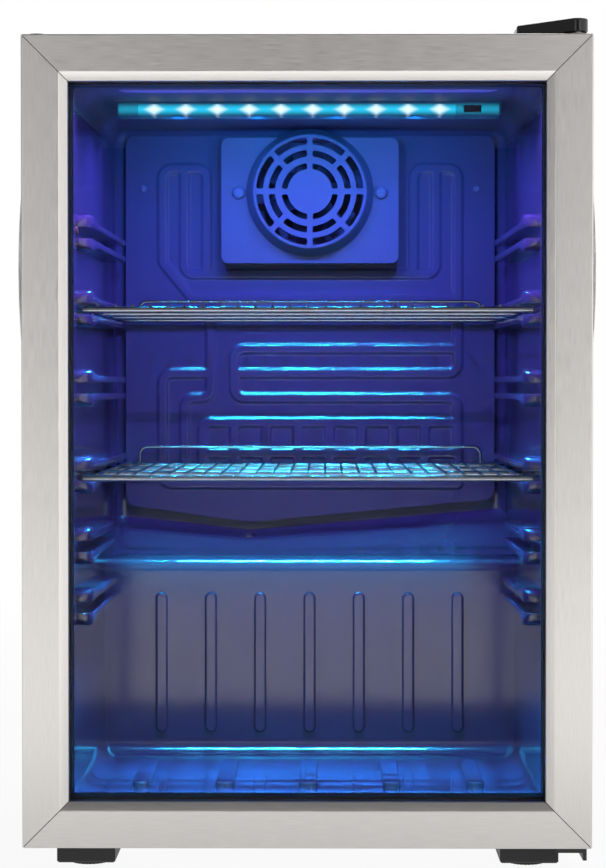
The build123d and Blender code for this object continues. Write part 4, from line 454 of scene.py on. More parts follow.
def backed_sheet(name, points, back):
    """Closed sheet: a grid as its front, a skirt from the border straight back, and a flat rear face."""
    rows, columns = points.shape[:2]
    number = np.arange(rows * columns).reshape(rows, columns)
    border = np.concatenate([number[0, :-1], number[:-1, -1], number[-1, :0:-1], number[:0:-1, 0]])
    front = points.reshape(-1, 3)
    rear = front[border]
    rear[:, 1] = back
    behind = rows * columns + np.arange(len(border))
    skirt = np.stack([border, np.roll(border, -1), np.roll(behind, -1), behind], axis=-1)
    faces = grid_faces(rows, columns).tolist() + skirt.tolist() + [behind.tolist()]
    mesh = bpy.data.meshes.new(name)
    mesh.from_pydata(np.vstack([front, rear]).tolist(), [], faces)
    mesh.update()
    return outwards(mesh, crease=75.0)


def cold_plate():
    """Sheet from its top edge to a foot that falls to the drain.

    Its front rises by a smooth step of the distance to the nearest channel line.
    """
    half = plate_high.x
    x = np.linspace(-half, half, int(2 * half / PLATE_STEP))
    share = np.linspace(0, 1, int((plate_high.z - plate_low.z) / PLATE_STEP))
    to_side = half - np.abs(x)
    into_corner = np.clip(PLATE_CORNER - to_side, 0, PLATE_CORNER)
    corner = PLATE_CORNER - np.sqrt(PLATE_CORNER**2 - into_corner**2)
    top = plate_high.z - corner
    left_rise = PLATE_FOOT_LEFT * (DRAIN_X - x) / (half + DRAIN_X)
    right_rise = PLATE_FOOT_RIGHT * (x - DRAIN_X) / (half - DRAIN_X)
    foot = plate_low.z + np.where(x < DRAIN_X, left_rise, right_rise) + corner
    z = foot + np.outer(share, top - foot)
    x = np.broadcast_to(x, z.shape)
    gap = distance_to_lines(x, plate_high.z - z, channel_lines())
    ramp = np.clip((CHANNEL_HALF + CHANNEL_SHOULDER - gap) / (2 * CHANNEL_SHOULDER), 0, 1)
    y = plate_high.y - PLATE_SHEET - CHANNEL_RISE * ramp * ramp * (3 - 2 * ramp)
    return backed_sheet("cold_plate", np.stack([x, y, z], axis=-1), plate_high.y)


plate_paint = finish(
    "cold_plate_paint", PLATE_DARK, roughness=0.2, grain=500.0, patch=45.0, fade=0.1, spread=0.06
)
add_piece(cold_plate(), "cabinet", plate_paint, "cold_plate", "evaporator_plate")

# Fan: a moulded black cover with a domed grille over seven blades, the motor on a cross of arms behind.
# Dull screws hold the cover and the cold plate to the liner, and the blades turn on a plated shaft.
COVER_BLACK = (0.070, 0.072, 0.082)
FAN_BLACK = (0.018, 0.018, 0.020)
SCREW_STEEL = (0.62, 0.62, 0.64)
SCREW_DULL = (0.09, 0.09, 0.10)
cover_plastic = finish("cover_plastic", COVER_BLACK, roughness=0.34, grain=900.0, depth=4e-5)
fan_plastic = finish("fan_plastic", FAN_BLACK, roughness=0.45, grain=700.0)
screw_plating = finish("screw_plating", SCREW_STEEL, roughness=0.25, metallic=1.0, grain=400.0, patch=120.0)
dull_screws = finish("dull_screws", SCREW_DULL, roughness=0.35, grain=400.0, patch=120.0)
dress(cover_plastic, "fan_cover")
dress(fan_plastic, "fan_bracket", "fan_motor", "fan_blades")
dress(screw_plating, "fan_shaft")
dress(dull_screws, "evaporator_screws", "fan_cover_screws")

# Drain: a short tube from the gutter down to the tray over the compressor.
# It is moulded in plain white plastic and pushed into the liner's outlet.
DRAIN_WHITE = (0.72, 0.72, 0.70)
white_plastic = finish("white_plastic", DRAIN_WHITE, roughness=0.45, grain=500.0)
dress(white_plastic, "drain_tube")

# Light: a moulded bar under the ceiling, ten lamps on a strip behind a clear lens, and a rocker switch.
# The lamps shine blue-white through the lens, brightest straight over each lamp.
LAMP_WHITE = (0.78, 0.96, 1.0)
GLOW_CYAN = (0.01, 0.46, 0.68)
LED_FIRST = -0.132
LED_PITCH = 0.0271
LED_COUNT = 10
UNLIT_BLUE = (0.0, 0.01, 0.03)
LENS_GREY = (0.05, 0.06, 0.07)
LENS_ROUGHNESS = 0.25
GLOW_END = 0.1635
GLOW_END_FADE = 0.002
GLOW_HEIGHT = 0.6255
BAND_HALF = 0.0065
CORE_HALF = 0.012
CORE_RISE = 0.0075


def glow(name, strength, band_level, core_level):
    """Lit clear plastic: a cyan band along the bar's middle height and a white core over each lamp."""
    material = bpy.data.materials.new(name)
    material.use_nodes = True
    tree = material.node_tree
    shader = tree.nodes["Principled BSDF"]
    shader.inputs["Base Color"].default_value = (*LENS_GREY, 1.0)
    shader.inputs["Roughness"].default_value = LENS_ROUGHNESS
    shader.inputs["Emission Strength"].default_value = strength
    place = tree.nodes.new("ShaderNodeTexCoord")
    split = tree.nodes.new("ShaderNodeSeparateXYZ")
    tree.links.new(place.outputs["Object"], split.inputs[0])
    from_first = math_node(tree, "SUBTRACT", split.outputs["X"], LED_FIRST)
    across = math_node(tree, "PINGPONG", from_first, LED_PITCH / 2)
    rise = math_node(tree, "ABSOLUTE", math_node(tree, "SUBTRACT", split.outputs["Z"], GLOW_HEIGHT), 0.0)
    level_band = ramp_node(tree, rise, BAND_HALF, 0.0, 0.0, band_level)
    from_middle = math_node(tree, "ABSOLUTE", split.outputs["X"], 0.0)
    end_fade = ramp_node(tree, from_middle, GLOW_END, GLOW_END - GLOW_END_FADE)
    band = math_node(tree, "MULTIPLY", level_band, end_fade)
    stretched = math_node(tree, "MULTIPLY", rise, CORE_HALF / CORE_RISE)
    reach = math_node(tree, "ADD", across, stretched)
    core = ramp_node(tree, reach, CORE_HALF, 0.0, 0.0, core_level)
    cyan = tree.nodes.new("ShaderNodeMix")
    cyan.data_type = "RGBA"
    cyan.inputs["A"].default_value = (*UNLIT_BLUE, 1.0)
    cyan.inputs["B"].default_value = (*GLOW_CYAN, 1.0)
    tint = tree.nodes.new("ShaderNodeMix")
    tint.data_type = "RGBA"
    tint.inputs["B"].default_value = (*LAMP_WHITE, 1.0)
    tree.links.new(band, cyan.inputs["Factor"])
    tree.links.new(cyan.outputs["Result"], tint.inputs["A"])
    tree.links.new(core, tint.inputs["Factor"])
    tree.links.new(tint.outputs["Result"], shader.inputs["Emission Color"])
    return material


dress(glow("lit_lens", strength=1.3, band_level=1.0, core_level=0.95), "light_lens")
dress(glow("lit_bar", strength=0.9, band_level=0.75, core_level=0.0), "light_base")
dress(glow("lamp", strength=4.0, band_level=1.0, core_level=1.0), "leds")
dress(white_plastic, "led_board")
dress(fan_plastic, "light_switch")

# Shelves: straight rods whose ends lie on the rails, with close wires welded to them along the depth.
# They are plated in grey nickel, which is slightly uneven.
NICKEL = (0.36, 0.37, 0.41)
shelf_plating = finish(
    "shelf_plating", NICKEL, roughness=0.2, metallic=1.0, grain=350.0, patch=70.0, fade=0.3
)
dress(shelf_plating, "upper_shelf", "lower_shelf")

# Door trims: four folded stainless members, mitred at the corners and brushed along their length.
# One sheet makes the return round the door's edge, the face, a shallow inner slope and a lip to the glass.
STAINLESS = (0.74, 0.71, 0.685)
TRIM_FACE = 0.029
TRIM_SLOPE = 0.007
TRIM_SLOPE_DEPTH = 0.0036
TRIM_LIP = 0.0083
TRIM_FOLD = 0.0009
TRIM_SHEET = 0.0008
MITRE_GAP = 0.0004


def brushed_group():
    """Brush marks: noise stretched along one direction shifts colour and roughness and gives a height."""
    group = bpy.data.node_groups.new("brush_marks", "ShaderNodeTree")
    socket = group.interface.new_socket
    socket("Colour", in_out="INPUT", socket_type="NodeSocketColor")
    socket("Stretch", in_out="INPUT", socket_type="NodeSocketVector")
    for name in ("Contrast", "Roughness", "Spread"):
        socket(name, in_out="INPUT", socket_type="NodeSocketFloat")
    socket("Colour", in_out="OUTPUT", socket_type="NodeSocketColor")
    socket("Roughness", in_out="OUTPUT", socket_type="NodeSocketFloat")
    socket("Height", in_out="OUTPUT", socket_type="NodeSocketFloat")
    given = group.nodes.new("NodeGroupInput")
    result = group.nodes.new("NodeGroupOutput")
    place = group.nodes.new("ShaderNodeTexCoord")
    stretch = group.nodes.new("ShaderNodeVectorMath")
    stretch.operation = "MULTIPLY"
    marks = group.nodes.new("ShaderNodeTexNoise")
    marks.inputs["Scale"].default_value = 1.0
    marks.inputs["Detail"].default_value = 4.0
    shade = group.nodes.new("ShaderNodeMix")
    shade.data_type = "RGBA"
    shade.blend_type = "MULTIPLY"
    middle = group.nodes.new("ShaderNodeMath")
    middle.operation = "SUBTRACT"
    middle.inputs[1].default_value = 0.5
    rough = group.nodes.new("ShaderNodeMath")
    rough.operation = "MULTIPLY_ADD"
    rough.use_clamp = True
    link = group.links.new
    link(place.outputs["Object"], stretch.inputs[0])
    link(given.outputs["Stretch"], stretch.inputs[1])
    link(stretch.outputs[0], marks.inputs["Vector"])
    link(given.outputs["Contrast"], shade.inputs["Factor"])
    link(given.outputs["Colour"], shade.inputs["A"])
    link(marks.outputs[0], shade.inputs["B"])
    link(marks.outputs[0], middle.inputs[0])
    link(middle.outputs[0], rough.inputs[0])
    link(given.outputs["Spread"], rough.inputs[1])
    link(given.outputs["Roughness"], rough.inputs[2])
    link(shade.outputs["Result"], result.inputs["Colour"])
    link(rough.outputs[0], result.inputs["Roughness"])
    link(marks.outputs[0], result.inputs["Height"])
    return group


BRUSHED = brushed_group()


def brushed_metal(name, colour, stretch, roughness, contrast=0.25, spread=0.25, depth=1.5e-5):
    """Metal whose brush marks run along the axis with the least stretch value."""
    values = {
        "Colour": (*colour, 1.0),
        "Stretch": stretch,
        "Contrast": contrast,
        "Roughness": roughness,
        "Spread": spread,
    }
    return textured(name, BRUSHED, values, metallic=1.0, depth=depth)


BRUSH_ALONG_X = (55.0, 1300.0, 1300.0)
BRUSH_ALONG_Z = (1300.0, 1300.0, 55.0)
steel_across = brushed_metal("steel_brushed_across", STAINLESS, BRUSH_ALONG_X, roughness=0.36)
steel_upright = brushed_metal("steel_brushed_upright", STAINLESS, BRUSH_ALONG_Z, roughness=0.36)


def trim_section(edge_depth):
    """Outline of the folded sheet as inward and backward distances: outer skin, then inner skin."""
    turn = np.linspace(0, math.pi / 2, 5)
    fold = np.stack([TRIM_FOLD * (1 - np.cos(turn)), TRIM_FOLD * (1 - np.sin(turn))], axis=-1)
    opening = TRIM_FACE + TRIM_SLOPE
    soft = 0.0004
    skin = [
        (TRIM_FOLD + soft, 0.0),
        (TRIM_FACE - 2 * soft, 0.0),
        (TRIM_FACE - soft, 0.0),
        (TRIM_FACE + soft, soft * TRIM_SLOPE_DEPTH / TRIM_SLOPE),
        (TRIM_FACE + 2 * soft, 2 * soft * TRIM_SLOPE_DEPTH / TRIM_SLOPE),
        (opening - soft, TRIM_SLOPE_DEPTH * (1 - soft / TRIM_SLOPE)),
        (opening, TRIM_SLOPE_DEPTH + soft),
        (opening, TRIM_LIP),
        (opening - TRIM_SHEET, TRIM_LIP),
        (opening - TRIM_SHEET, TRIM_SLOPE_DEPTH + TRIM_SHEET),
        (TRIM_FACE, TRIM_SHEET),
        (TRIM_SHEET, TRIM_SHEET),
        (TRIM_SHEET, edge_depth),
    ]
    return np.vstack([[(0.0, edge_depth)], fold, skin])


def trim_member(name, start, along, inward, length, edge_depth):
    """The section carried along a door edge, each end cut back by the inward distance as a mitre."""
    section = trim_section(edge_depth)
    count = len(section)
    across = section[:, :1] * np.array(inward) + section[:, 1:] * np.array((0.0, 1.0, 0.0))
    cut = section[:, :1] + MITRE_GAP
    points = np.array(start) + across + np.stack([cut, length - cut]) * np.array(along)
    faces = grid_faces(2, count, close_columns=True).tolist()
    ends = [list(range(count)), list(range(2 * count - 1, count - 1, -1))]
    mesh = bpy.data.meshes.new(name)
    mesh.from_pydata(points.reshape(-1, 3).tolist(), [], faces + ends)
    mesh.update()
    return outwards(mesh, crease=30.0)


door_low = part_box("trim_left")[0]
door_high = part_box("trim_right")[1]
door_width = door_high.x - door_low.x
door_height = door_high.z - door_low.z
edge_depth = door_high.y - door_low.y
low_corner = (door_low.x, door_low.y, door_low.z)
high_corner = (door_low.x, door_low.y, door_high.z)
right_corner = (door_high.x, door_low.y, door_low.z)
RIGHT, LEFT, UP, DOWN = (1.0, 0.0, 0.0), (-1.0, 0.0, 0.0), (0.0, 0.0, 1.0), (0.0, 0.0, -1.0)
members = {
    "top": trim_member("steel_trim_top", high_corner, RIGHT, DOWN, door_width, edge_depth),
    "bottom": trim_member("steel_trim_bottom", low_corner, RIGHT, UP, door_width, edge_depth),
    "left": trim_member("steel_trim_left", low_corner, UP, RIGHT, door_height, edge_depth),
    "right": trim_member("steel_trim_right", right_corner, UP, LEFT, door_height, edge_depth),
}
for side, mesh in members.items():
    steel = steel_across if side in ("top", "bottom") else steel_upright
    add_piece(mesh, "door", steel, "stainless", f"trim_{side}")

# Door frame: black moulded plastic behind the trims, which holds the panes and the gasket.
# Plugs of the same plastic close the spare hinge holes on the left.
FRAME_BLACK = (0.016, 0.016, 0.018)
frame_plastic = finish("door_frame_plastic", FRAME_BLACK, roughness=0.5, grain=600.0)
dress(frame_plastic, "door_frame", "spare_hole_plugs")

# Glazing: two clear panes with a dark spacer between them round the edge.
# The panes are clear, and mirror a little of the room only when they are seen at a slant.
PANE_TINT = (0.80, 0.86, 0.88)
PANE_ROUGHNESS = 0.02
PANE_MIRROR = 0.10
PANE_CLEAR = 0.30
SPACER_DARK = (0.05, 0.05, 0.05)


def clear_pane(name):
    """Clear glass as a thin mirror: see-through square on, and more of a mirror the more it slants."""
    material = bpy.data.materials.new(name)
    material.use_nodes = True
    tree = material.node_tree
    shader = tree.nodes["Principled BSDF"]
    shader.inputs["Base Color"].default_value = (*PANE_TINT, 1.0)
    shader.inputs["Metallic"].default_value = 1.0
    shader.inputs["Roughness"].default_value = PANE_ROUGHNESS
    slant = tree.nodes.new("ShaderNodeLayerWeight").outputs["Facing"]
    share = ramp_node(tree, slant, PANE_CLEAR, 1.0, 0.0, PANE_MIRROR)
    tree.links.new(share, shader.inputs["Alpha"])
    return material


dress(clear_pane("clear_glass"), "outer_glass", "inner_glass")
dress(finish("spacer_dark", SPACER_DARK, roughness=0.4), "glass_spacer", "gasket_magnets")

# Gasket: soft black extrusion with a bellows and a rounded lip, welded at the corners.
# Its dart is pushed into the door frame's groove, and a magnet strip lies behind the lip.
GASKET_BLACK = (0.016, 0.016, 0.017)
gasket_rubber = finish("gasket_rubber", GASKET_BLACK, roughness=0.6, grain=800.0, depth=3e-5)
dress(gasket_rubber, "door_gasket")

# Grips: finger pockets pushed into both edges of the door, with a bowed lip along the front.
# They are plated bright and brushed along their length.
GRIP_METAL = (0.82, 0.81, 0.79)
GRIP_EDGE = 0.0006
FLAT_ANGLE = math.radians(0.3)
SHARP_ANGLE = math.radians(35)


def eased_copy(node, name, body, material, slot, radius):
    """Copy of a CAD piece with its corners joined and its sharp edges rounded by a bevel."""
    mesh = nodes[node].data.copy()
    mesh.name = name
    mesh.materials.clear()
    work = bmesh.new()
    work.from_mesh(mesh)
    bmesh.ops.remove_doubles(work, verts=work.verts, dist=1e-6)
    bmesh.ops.dissolve_limit(work, angle_limit=FLAT_ANGLE, verts=work.verts, edges=work.edges)
    work.to_mesh(mesh)
    work.free()
    normals = mesh.attributes.get("custom_normal")
    if normals:
        mesh.attributes.remove(normals)
    mesh.shade_smooth()
    mesh.set_sharp_from_angle(angle=SHARP_ANGLE)
    piece = add_piece(mesh, body, material, slot, node)
    edge = piece.modifiers.new("eased_edges", "BEVEL")
    edge.width = radius
    edge.segments = 2
    edge.limit_method = "ANGLE"
    edge.angle_limit = SHARP_ANGLE
    edge.harden_normals = True


grip_plating = brushed_metal("grip_plating", GRIP_METAL, BRUSH_ALONG_Z, roughness=0.22, contrast=0.15)
for side in ("left", "right"):
    eased_copy(f"handle_{side}", f"grip_{side}", "door", grip_plating, "handle", GRIP_EDGE)

# Hinges: black plates on the cabinet's top and under its base, riveted pins in plain plastic bushes.
# A black cover clips over the upper plate.
HINGE_BLACK = (0.014, 0.014, 0.015)
CAP_BLACK = (0.010, 0.010, 0.011)
BUSH_NATURAL = (0.62, 0.61, 0.57)
PLATE_EDGE = 0.0005
CAP_EDGE = 0.0008
hinge_paint = finish("hinge_paint", HINGE_BLACK, roughness=0.32, grain=500.0, depth=4e-5)
dress(hinge_paint, "upper_hinge_bracket")
eased_copy("lower_hinge_bracket", "lower_hinge_plate", "cabinet", hinge_paint, "hinge", PLATE_EDGE)
cap_gloss = finish("gloss_black_plastic", CAP_BLACK, roughness=0.16, grain=700.0, depth=1e-5)
eased_copy("upper_hinge_cover", "hinge_cap", "cabinet", cap_gloss, "dark_plastic", CAP_EDGE)
dress(finish("natural_plastic", BUSH_NATURAL, roughness=0.5), "hinge_bushes")
dress(screw_plating, "hinge_pins", "hinge_screws")

# Machine bay: a black painted compressor on rubber rings, copper lines, a tray for melt water,
# the wire-on-tube condenser across the back, and the thermostat and cord gland on their bracket.
COMPRESSOR_BLACK = (0.008, 0.008, 0.009)
COPPER = (0.72, 0.36, 0.22)
RUBBER = (0.020, 0.020, 0.020)
compressor_paint = finish("compressor_paint", COMPRESSOR_BLACK, roughness=0.18, grain=60.0, depth=8e-5)
dress(compressor_paint, "compressor")
dress(finish("bay_rubber", RUBBER, roughness=0.7, grain=500.0), "compressor_grommets", "cord_gland")
dress(fan_plastic, "relay_cover", "drip_tray")
condenser_paint = finish("condenser_paint", HINGE_BLACK, roughness=0.38, grain=300.0)
dress(condenser_paint, "condenser_tube", "condenser_wires")
dress(hinge_paint, "condenser_brackets")
copper = finish(
    "copper_line", COPPER, roughness=0.3, metallic=1.0, grain=120.0, patch=40.0, fade=0.45, spread=0.3
)
dress(copper, "filter_drier", "suction_tube")
dress(white_plastic, "thermostat")
dress(cap_gloss, "thermostat_knob")

# Feet: moulded black blocks under the base, with a ribbed levelling foot screwed into each front block.
# Plated screws hold the blocks to the base plate.
FOOT_BLACK = (0.022, 0.022, 0.023)
FOOT_EDGE = 0.0008
foot_plastic = finish("foot_plastic", FOOT_BLACK, roughness=0.5, grain=500.0, depth=5e-5)
dress(foot_plastic, "levelling_foot_left", "levelling_foot_right")
dress(screw_plating, "foot_screws")
eased_copy("front_foot_blocks", "foot_blocks_front", "cabinet", foot_plastic, "motor_black", FOOT_EDGE)
eased_copy("rear_feet", "foot_blocks_rear", "cabinet", foot_plastic, "motor_black", FOOT_EDGE)

# Studio floor: a pale sheet under the fridge that turns white away from it, so that no horizon shows.
# Glossy surfaces see it as a bright table, which ends behind the camera and is dimmer close to the fridge.
FLOOR_PALE = (0.86, 0.86, 0.86)
FLOOR_ROUGHNESS = 0.6
FLOOR_HALF = 30.0
FLOOR_SHOWN = 0.93
FLOOR_FADE = (0.7, 2.6)
FLOOR_MIRRORED = 1.72
FLOOR_CLOSE_SHARE = 0.5
FLOOR_FAR_EDGE = (-3.3, -3.0)
FLOOR_CLOSE_EDGE = (-0.70, -0.63)
floor_corners = [
    [(-FLOOR_HALF, -FLOOR_HALF, 0.0), (FLOOR_HALF, -FLOOR_HALF, 0.0)],
    [(-FLOOR_HALF, FLOOR_HALF, 0.0), (FLOOR_HALF, FLOOR_HALF, 0.0)],
]
floor_mesh = surface("floor", np.array(floor_corners))
floor = bpy.data.objects.new("floor", floor_mesh)
bpy.context.scene.collection.objects.link(floor)
floor_material = bpy.data.materials.new("pale_floor")
floor_material.use_nodes = True
floor_tree = floor_material.node_tree
floor_shader = floor_tree.nodes["Principled BSDF"]
floor_shader.inputs["Base Color"].default_value = (*FLOOR_PALE, 1.0)
floor_shader.inputs["Roughness"].default_value = FLOOR_ROUGHNESS
floor_light = floor_tree.nodes.new("ShaderNodeEmission")
floor_ray = floor_tree.nodes.new("ShaderNodeLightPath").outputs
floor_mix = floor_tree.nodes.new("ShaderNodeMixShader")
floor_place = floor_tree.nodes.new("ShaderNodeTexCoord")
floor_split = floor_tree.nodes.new("ShaderNodeSeparateXYZ")
floor_tree.links.new(floor_place.outputs["Object"], floor_split.inputs[0])
bright = ramp_node(floor_tree, floor_split.outputs["Y"], *FLOOR_FAR_EDGE, 0.0, FLOOR_MIRRORED)
close = ramp_node(floor_tree, floor_split.outputs["Y"], *FLOOR_CLOSE_EDGE, 1.0, FLOOR_CLOSE_SHARE)
mirrored = math_node(floor_tree, "MULTIPLY", bright, close)
for_camera = floor_tree.nodes.new("ShaderNodeMix")
for_camera.inputs["B"].default_value = 1.0
floor_tree.links.new(floor_ray["Is Camera Ray"], for_camera.inputs["Factor"])
floor_tree.links.new(mirrored, for_camera.inputs["A"])
floor_seen = math_node(floor_tree, "MAXIMUM", floor_ray["Is Camera Ray"], floor_ray["Is Glossy Ray"])
floor_reach = floor_tree.nodes.new("ShaderNodeVectorMath")
floor_reach.operation = "LENGTH"
floor_tree.links.new(floor_place.outputs["Object"], floor_reach.inputs[0])
floor_shown = ramp_node(floor_tree, floor_reach.outputs["Value"], *FLOOR_FADE, FLOOR_SHOWN, 1.0)
floor_share = math_node(floor_tree, "MULTIPLY", floor_seen, floor_shown)
floor_tree.links.new(for_camera.outputs["Result"], floor_light.inputs["Strength"])
floor_tree.links.new(floor_share, floor_mix.inputs[0])
floor_tree.links.new(floor_shader.outputs[0], floor_mix.inputs[1])
floor_tree.links.new(floor_light.outputs[0], floor_mix.inputs[2])
floor_tree.links.new(floor_mix.outputs[0], floor_tree.nodes["Material Output"].inputs["Surface"])
floor_material.cycles.emission_sampling = "NONE"
floor_mesh.materials.append(floor_material)

# Surround: plain white to the camera. Surfaces see a grey room instead, brighter at the right,
# darker overhead, and dark straight in front of the door.
LEFT_LEVEL = 0.31
RIGHT_LEVEL = 1.3
SIDE_EDGES = (-0.8, 0.8)
CEILING_SHARE = 0.26
CEILING_EDGES = (0.15, 0.7)
FRONT_LEVEL = 0.1
FRONT_CAP = (math.cos(math.radians(20)), math.cos(math.radians(11)))
world = bpy.data.worlds.new("white_surround")
world.use_nodes = True
bpy.context.scene.world = world
world_tree = world.node_tree
world_link = world_tree.links.new
room = world_tree.nodes["Background"]
room.inputs["Strength"].default_value = 1.0
white = world_tree.nodes.new("ShaderNodeBackground")
white.inputs["Color"].default_value = (1.0, 1.0, 1.0, 1.0)
ray = world_tree.nodes.new("ShaderNodeLightPath").outputs
choice = world_tree.nodes.new("ShaderNodeMixShader")
sky = world_tree.nodes.new("ShaderNodeTexCoord")
sky_parts = world_tree.nodes.new("ShaderNodeSeparateXYZ")
world_link(sky.outputs["Generated"], sky_parts.inputs[0])
sideways = ramp_node(world_tree, sky_parts.outputs["X"], *SIDE_EDGES, LEFT_LEVEL, RIGHT_LEVEL)
overhead = ramp_node(world_tree, sky_parts.outputs["Z"], *CEILING_EDGES, 1.0, CEILING_SHARE)
ahead = math_node(world_tree, "MULTIPLY", sky_parts.outputs["Y"], -1.0)
flag = ramp_node(world_tree, ahead, *FRONT_CAP, 1.0, FRONT_LEVEL)
around = math_node(world_tree, "MULTIPLY", sideways, overhead)
level = math_node(world_tree, "MULTIPLY", around, flag)
seen = math_node(world_tree, "MAXIMUM", ray["Is Camera Ray"], ray["Is Transmission Ray"])
world_link(level, room.inputs["Color"])
world_link(seen, choice.inputs[0])
world_link(room.outputs[0], choice.inputs[1])
world_link(white.outputs[0], choice.inputs[2])
world_link(choice.outputs[0], world_tree.nodes["World Output"].inputs["Surface"])

# Soft lamps: one at each side of the camera for the front, and one behind and above for top and back.
# They are wide white rectangles turned towards the middle of the fridge.
FRIDGE_MIDDLE = (0.0, -0.1, 0.36)


def soft_lamp(name, place, aim, width, height, power):
    """Rectangular lamp at a place, turned towards a point."""
    data = bpy.data.lights.new(name, "AREA")
    data.shape = "RECTANGLE"
    data.size = width
    data.size_y = height
    data.energy = power
    lamp = bpy.data.objects.new(name, data)
    lamp.location = place
    lamp.rotation_euler = (Vector(aim) - Vector(place)).to_track_quat("-Z", "Y").to_euler()
    bpy.context.scene.collection.objects.link(lamp)
    return lamp


soft_lamp("right_soft", (0.95, -2.3, 0.45), FRIDGE_MIDDLE, width=0.7, height=1.4, power=3.6)
soft_lamp("left_soft", (-0.95, -2.3, 0.45), FRIDGE_MIDDLE, width=0.7, height=1.4, power=3.6)
soft_lamp("back_soft", (0.5, 1.9, 2.5), FRIDGE_MIDDLE, width=1.6, height=1.2, power=32.0)

# Lamps inside: small ones under the lens for the strip's light and its glints, and soft ones for the light
# that the liner, the wires and the inner pane throw on. They light only the pieces inside the cabinet.
LAMP_BLUE = (0.075, 0.070, 1.0)
LAMP_AZURE = (0.01, 0.26, 1.0)
LAMP_VIOLET = (0.15, 0.11, 1.0)
LAMP_CYAN = (0.02, 0.50, 1.0)
LAMP_BOUNCED = (0.10, 0.17, 1.0)
WASH_COUNT = 4
LAMP_RADIUS = 0.004
LAMP_INSET = 0.004
LAMP_DROP = 0.005
STRAIGHT_DOWN = (0.0, 0.0, -1.0)
TO_BACK_WALL = (0.0, 1.0, -0.15)
TO_FLOOR = (0.0, -0.22, -1.0)
GLINT_AIM = (0.0, 0.1, -1.0)
STRIP_HEIGHT = 0.004
PANE_HEIGHT = 0.5
lens_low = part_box("light_lens")[0]
light_names = ("light_base", "light_lens", "light_switch", "leds", "led_board")
fan_names = ("fan_cover", "fan_cover_screws", "fan_bracket", "fan_motor", "fan_shaft", "fan_blades")
wall_names = ("inner_liner", "evaporator_screws", "drain_tube", "wall_plug")
added_names = ("ceiling_ridge_1", "ceiling_ridge_2", "hump_cove", "shelf_rails")


def gathered(name, pieces):
    """Collection of the pieces that a lamp lights."""
    collection = bpy.data.collections.new(name)
    for piece in pieces:
        collection.objects.link(piece)
    return collection


shelf_pieces = [nodes["upper_shelf"], nodes["lower_shelf"]]
plate_pieces = [bpy.data.objects["cold_plate"]]
liner_pieces = [nodes[name] for name in wall_names] + [bpy.data.objects[name] for name in added_names]
other_pieces = [nodes[name] for name in light_names + fan_names]
inside = gathered("pieces_inside", shelf_pieces + plate_pieces + liner_pieces + other_pieces)
shelves = gathered("shelf_pieces", shelf_pieces)
plate = gathered("plate_pieces", plate_pieces)
liner = gathered("liner_pieces", liner_pieces)


def strip_lights(name, receivers, colour, power, aim, spread, blend, glints=False):
    """Small lamps in a row under the lens that share a power and give only glints or only plain light."""
    count = LED_COUNT if glints else WASH_COUNT
    pitch = LED_COUNT * LED_PITCH / count
    first = LED_FIRST - LED_PITCH / 2 + pitch / 2
    for index in range(count):
        data = bpy.data.lights.new(f"{name}_{index + 1}", "SPOT")
        data.color = colour
        data.energy = power / count
        data.shadow_soft_size = LAMP_RADIUS
        data.spot_size = math.radians(spread)
        data.spot_blend = blend
        lamp = bpy.data.objects.new(data.name, data)
        lamp.location = (first + index * pitch, lens_low.y + LAMP_INSET, lens_low.z - LAMP_DROP)
        lamp.rotation_euler = Vector(aim).to_track_quat("-Z", "Y").to_euler()
        lamp.visible_diffuse = not glints
        lamp.visible_glossy = glints
        lamp.light_linking.receiver_collection = receivers
        bpy.context.scene.collection.objects.link(lamp)


strip_lights("lamp_scattered", inside, LAMP_BLUE, 11.0, STRAIGHT_DOWN, spread=178.0, blend=0.5)
strip_lights("lamp_back", inside, LAMP_AZURE, 7.3, TO_BACK_WALL, spread=84.0, blend=0.8)
strip_lights("lamp_down", inside, LAMP_AZURE, 400.0, TO_FLOOR, spread=48.0, blend=0.8)
strip_lights("liner_glint", liner, LAMP_CYAN, 180.0, GLINT_AIM, spread=100.0, blend=0.5, glints=True)
strip_lights("plate_glint", plate, LAMP_CYAN, 50.0, GLINT_AIM, spread=100.0, blend=0.5, glints=True)
strip_lights("shelf_glint", shelves, LAMP_CYAN, 24.0, GLINT_AIM, spread=100.0, blend=0.5, glints=True)


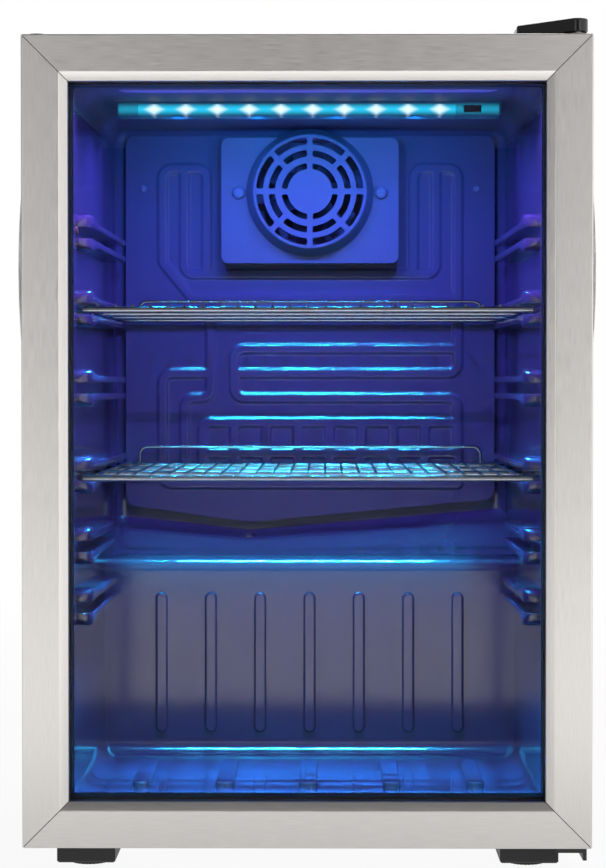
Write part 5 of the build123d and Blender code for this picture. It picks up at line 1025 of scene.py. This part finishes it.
def strip_lamp(name, place, aim, colour, length, power, spread=180.0, height=STRIP_HEIGHT):
    """Lamp along X that isn't seen itself and lights the pieces inside, within a spread in degrees."""
    lamp = soft_lamp(name, place, aim, length, height, power)
    lamp.data.color = colour
    lamp.data.spread = math.radians(spread)
    lamp.visible_camera = False
    lamp.visible_glossy = False
    lamp.light_linking.receiver_collection = inside


strip_lamp(
    "ceiling_fill", (0.0, -0.192, 0.629), (0.0, -0.09, 0.20), LAMP_VIOLET,
    length=0.36, power=3.4, spread=120.0,
)
strip_lamp("back_fill", (0.0, 0.02, 0.600), (0.0, 0.14, 0.50), LAMP_BLUE, length=0.36, power=0.6)
strip_lamp("ceiling_wash", (0.0, -0.12, 0.60), (0.0, -0.12, 0.64), LAMP_BLUE, length=0.34, power=0.16)
strip_lamp(
    "pane_bounce", (0.0, -0.217, 0.33), (0.0, 0.0, 0.33), LAMP_BOUNCED,
    length=0.36, power=0.4, height=PANE_HEIGHT,
)
strip_lamp(
    "pad_streak", (0.0, -0.175, 0.070), (0.0, -0.124, 0.058), LAMP_CYAN,
    length=0.34, power=0.06, spread=60.0,
)
strip_lamp(
    "roof_streak", (0.0, 0.105, 0.300), (0.0, 0.105, 0.24), LAMP_CYAN,
    length=0.32, power=0.08, spread=80.0,
)
strip_lamp(
    "nose_streak", (-0.01, 0.046, 0.249), (-0.01, 0.068, 0.222), LAMP_CYAN,
    length=0.31, power=0.17, spread=110.0,
)

# Camera: at a height between the two shelves, a little right of the middle, aimed slightly down and left.
# A long lens from about 2 m in front of the door gives the photograph's mild perspective.
CAMERA_PLACE = (0.014, -2.20, 0.391)
CAMERA_AIM = (-0.0031, -0.25, 0.3521)
CAMERA_LENS = 103.94
CAMERA_SENSOR = 36.0
camera_data = bpy.data.cameras.new("camera")
camera_data.sensor_fit = "VERTICAL"
camera_data.sensor_height = CAMERA_SENSOR
camera_data.lens = CAMERA_LENS
camera = bpy.data.objects.new("camera", camera_data)
camera.location = CAMERA_PLACE
camera.rotation_euler = (Vector(CAMERA_AIM) - Vector(CAMERA_PLACE)).to_track_quat("-Z", "Y").to_euler()
bpy.context.scene.collection.objects.link(camera)
bpy.context.scene.camera = camera
bpy.context.scene.view_settings.view_transform = "Standard"
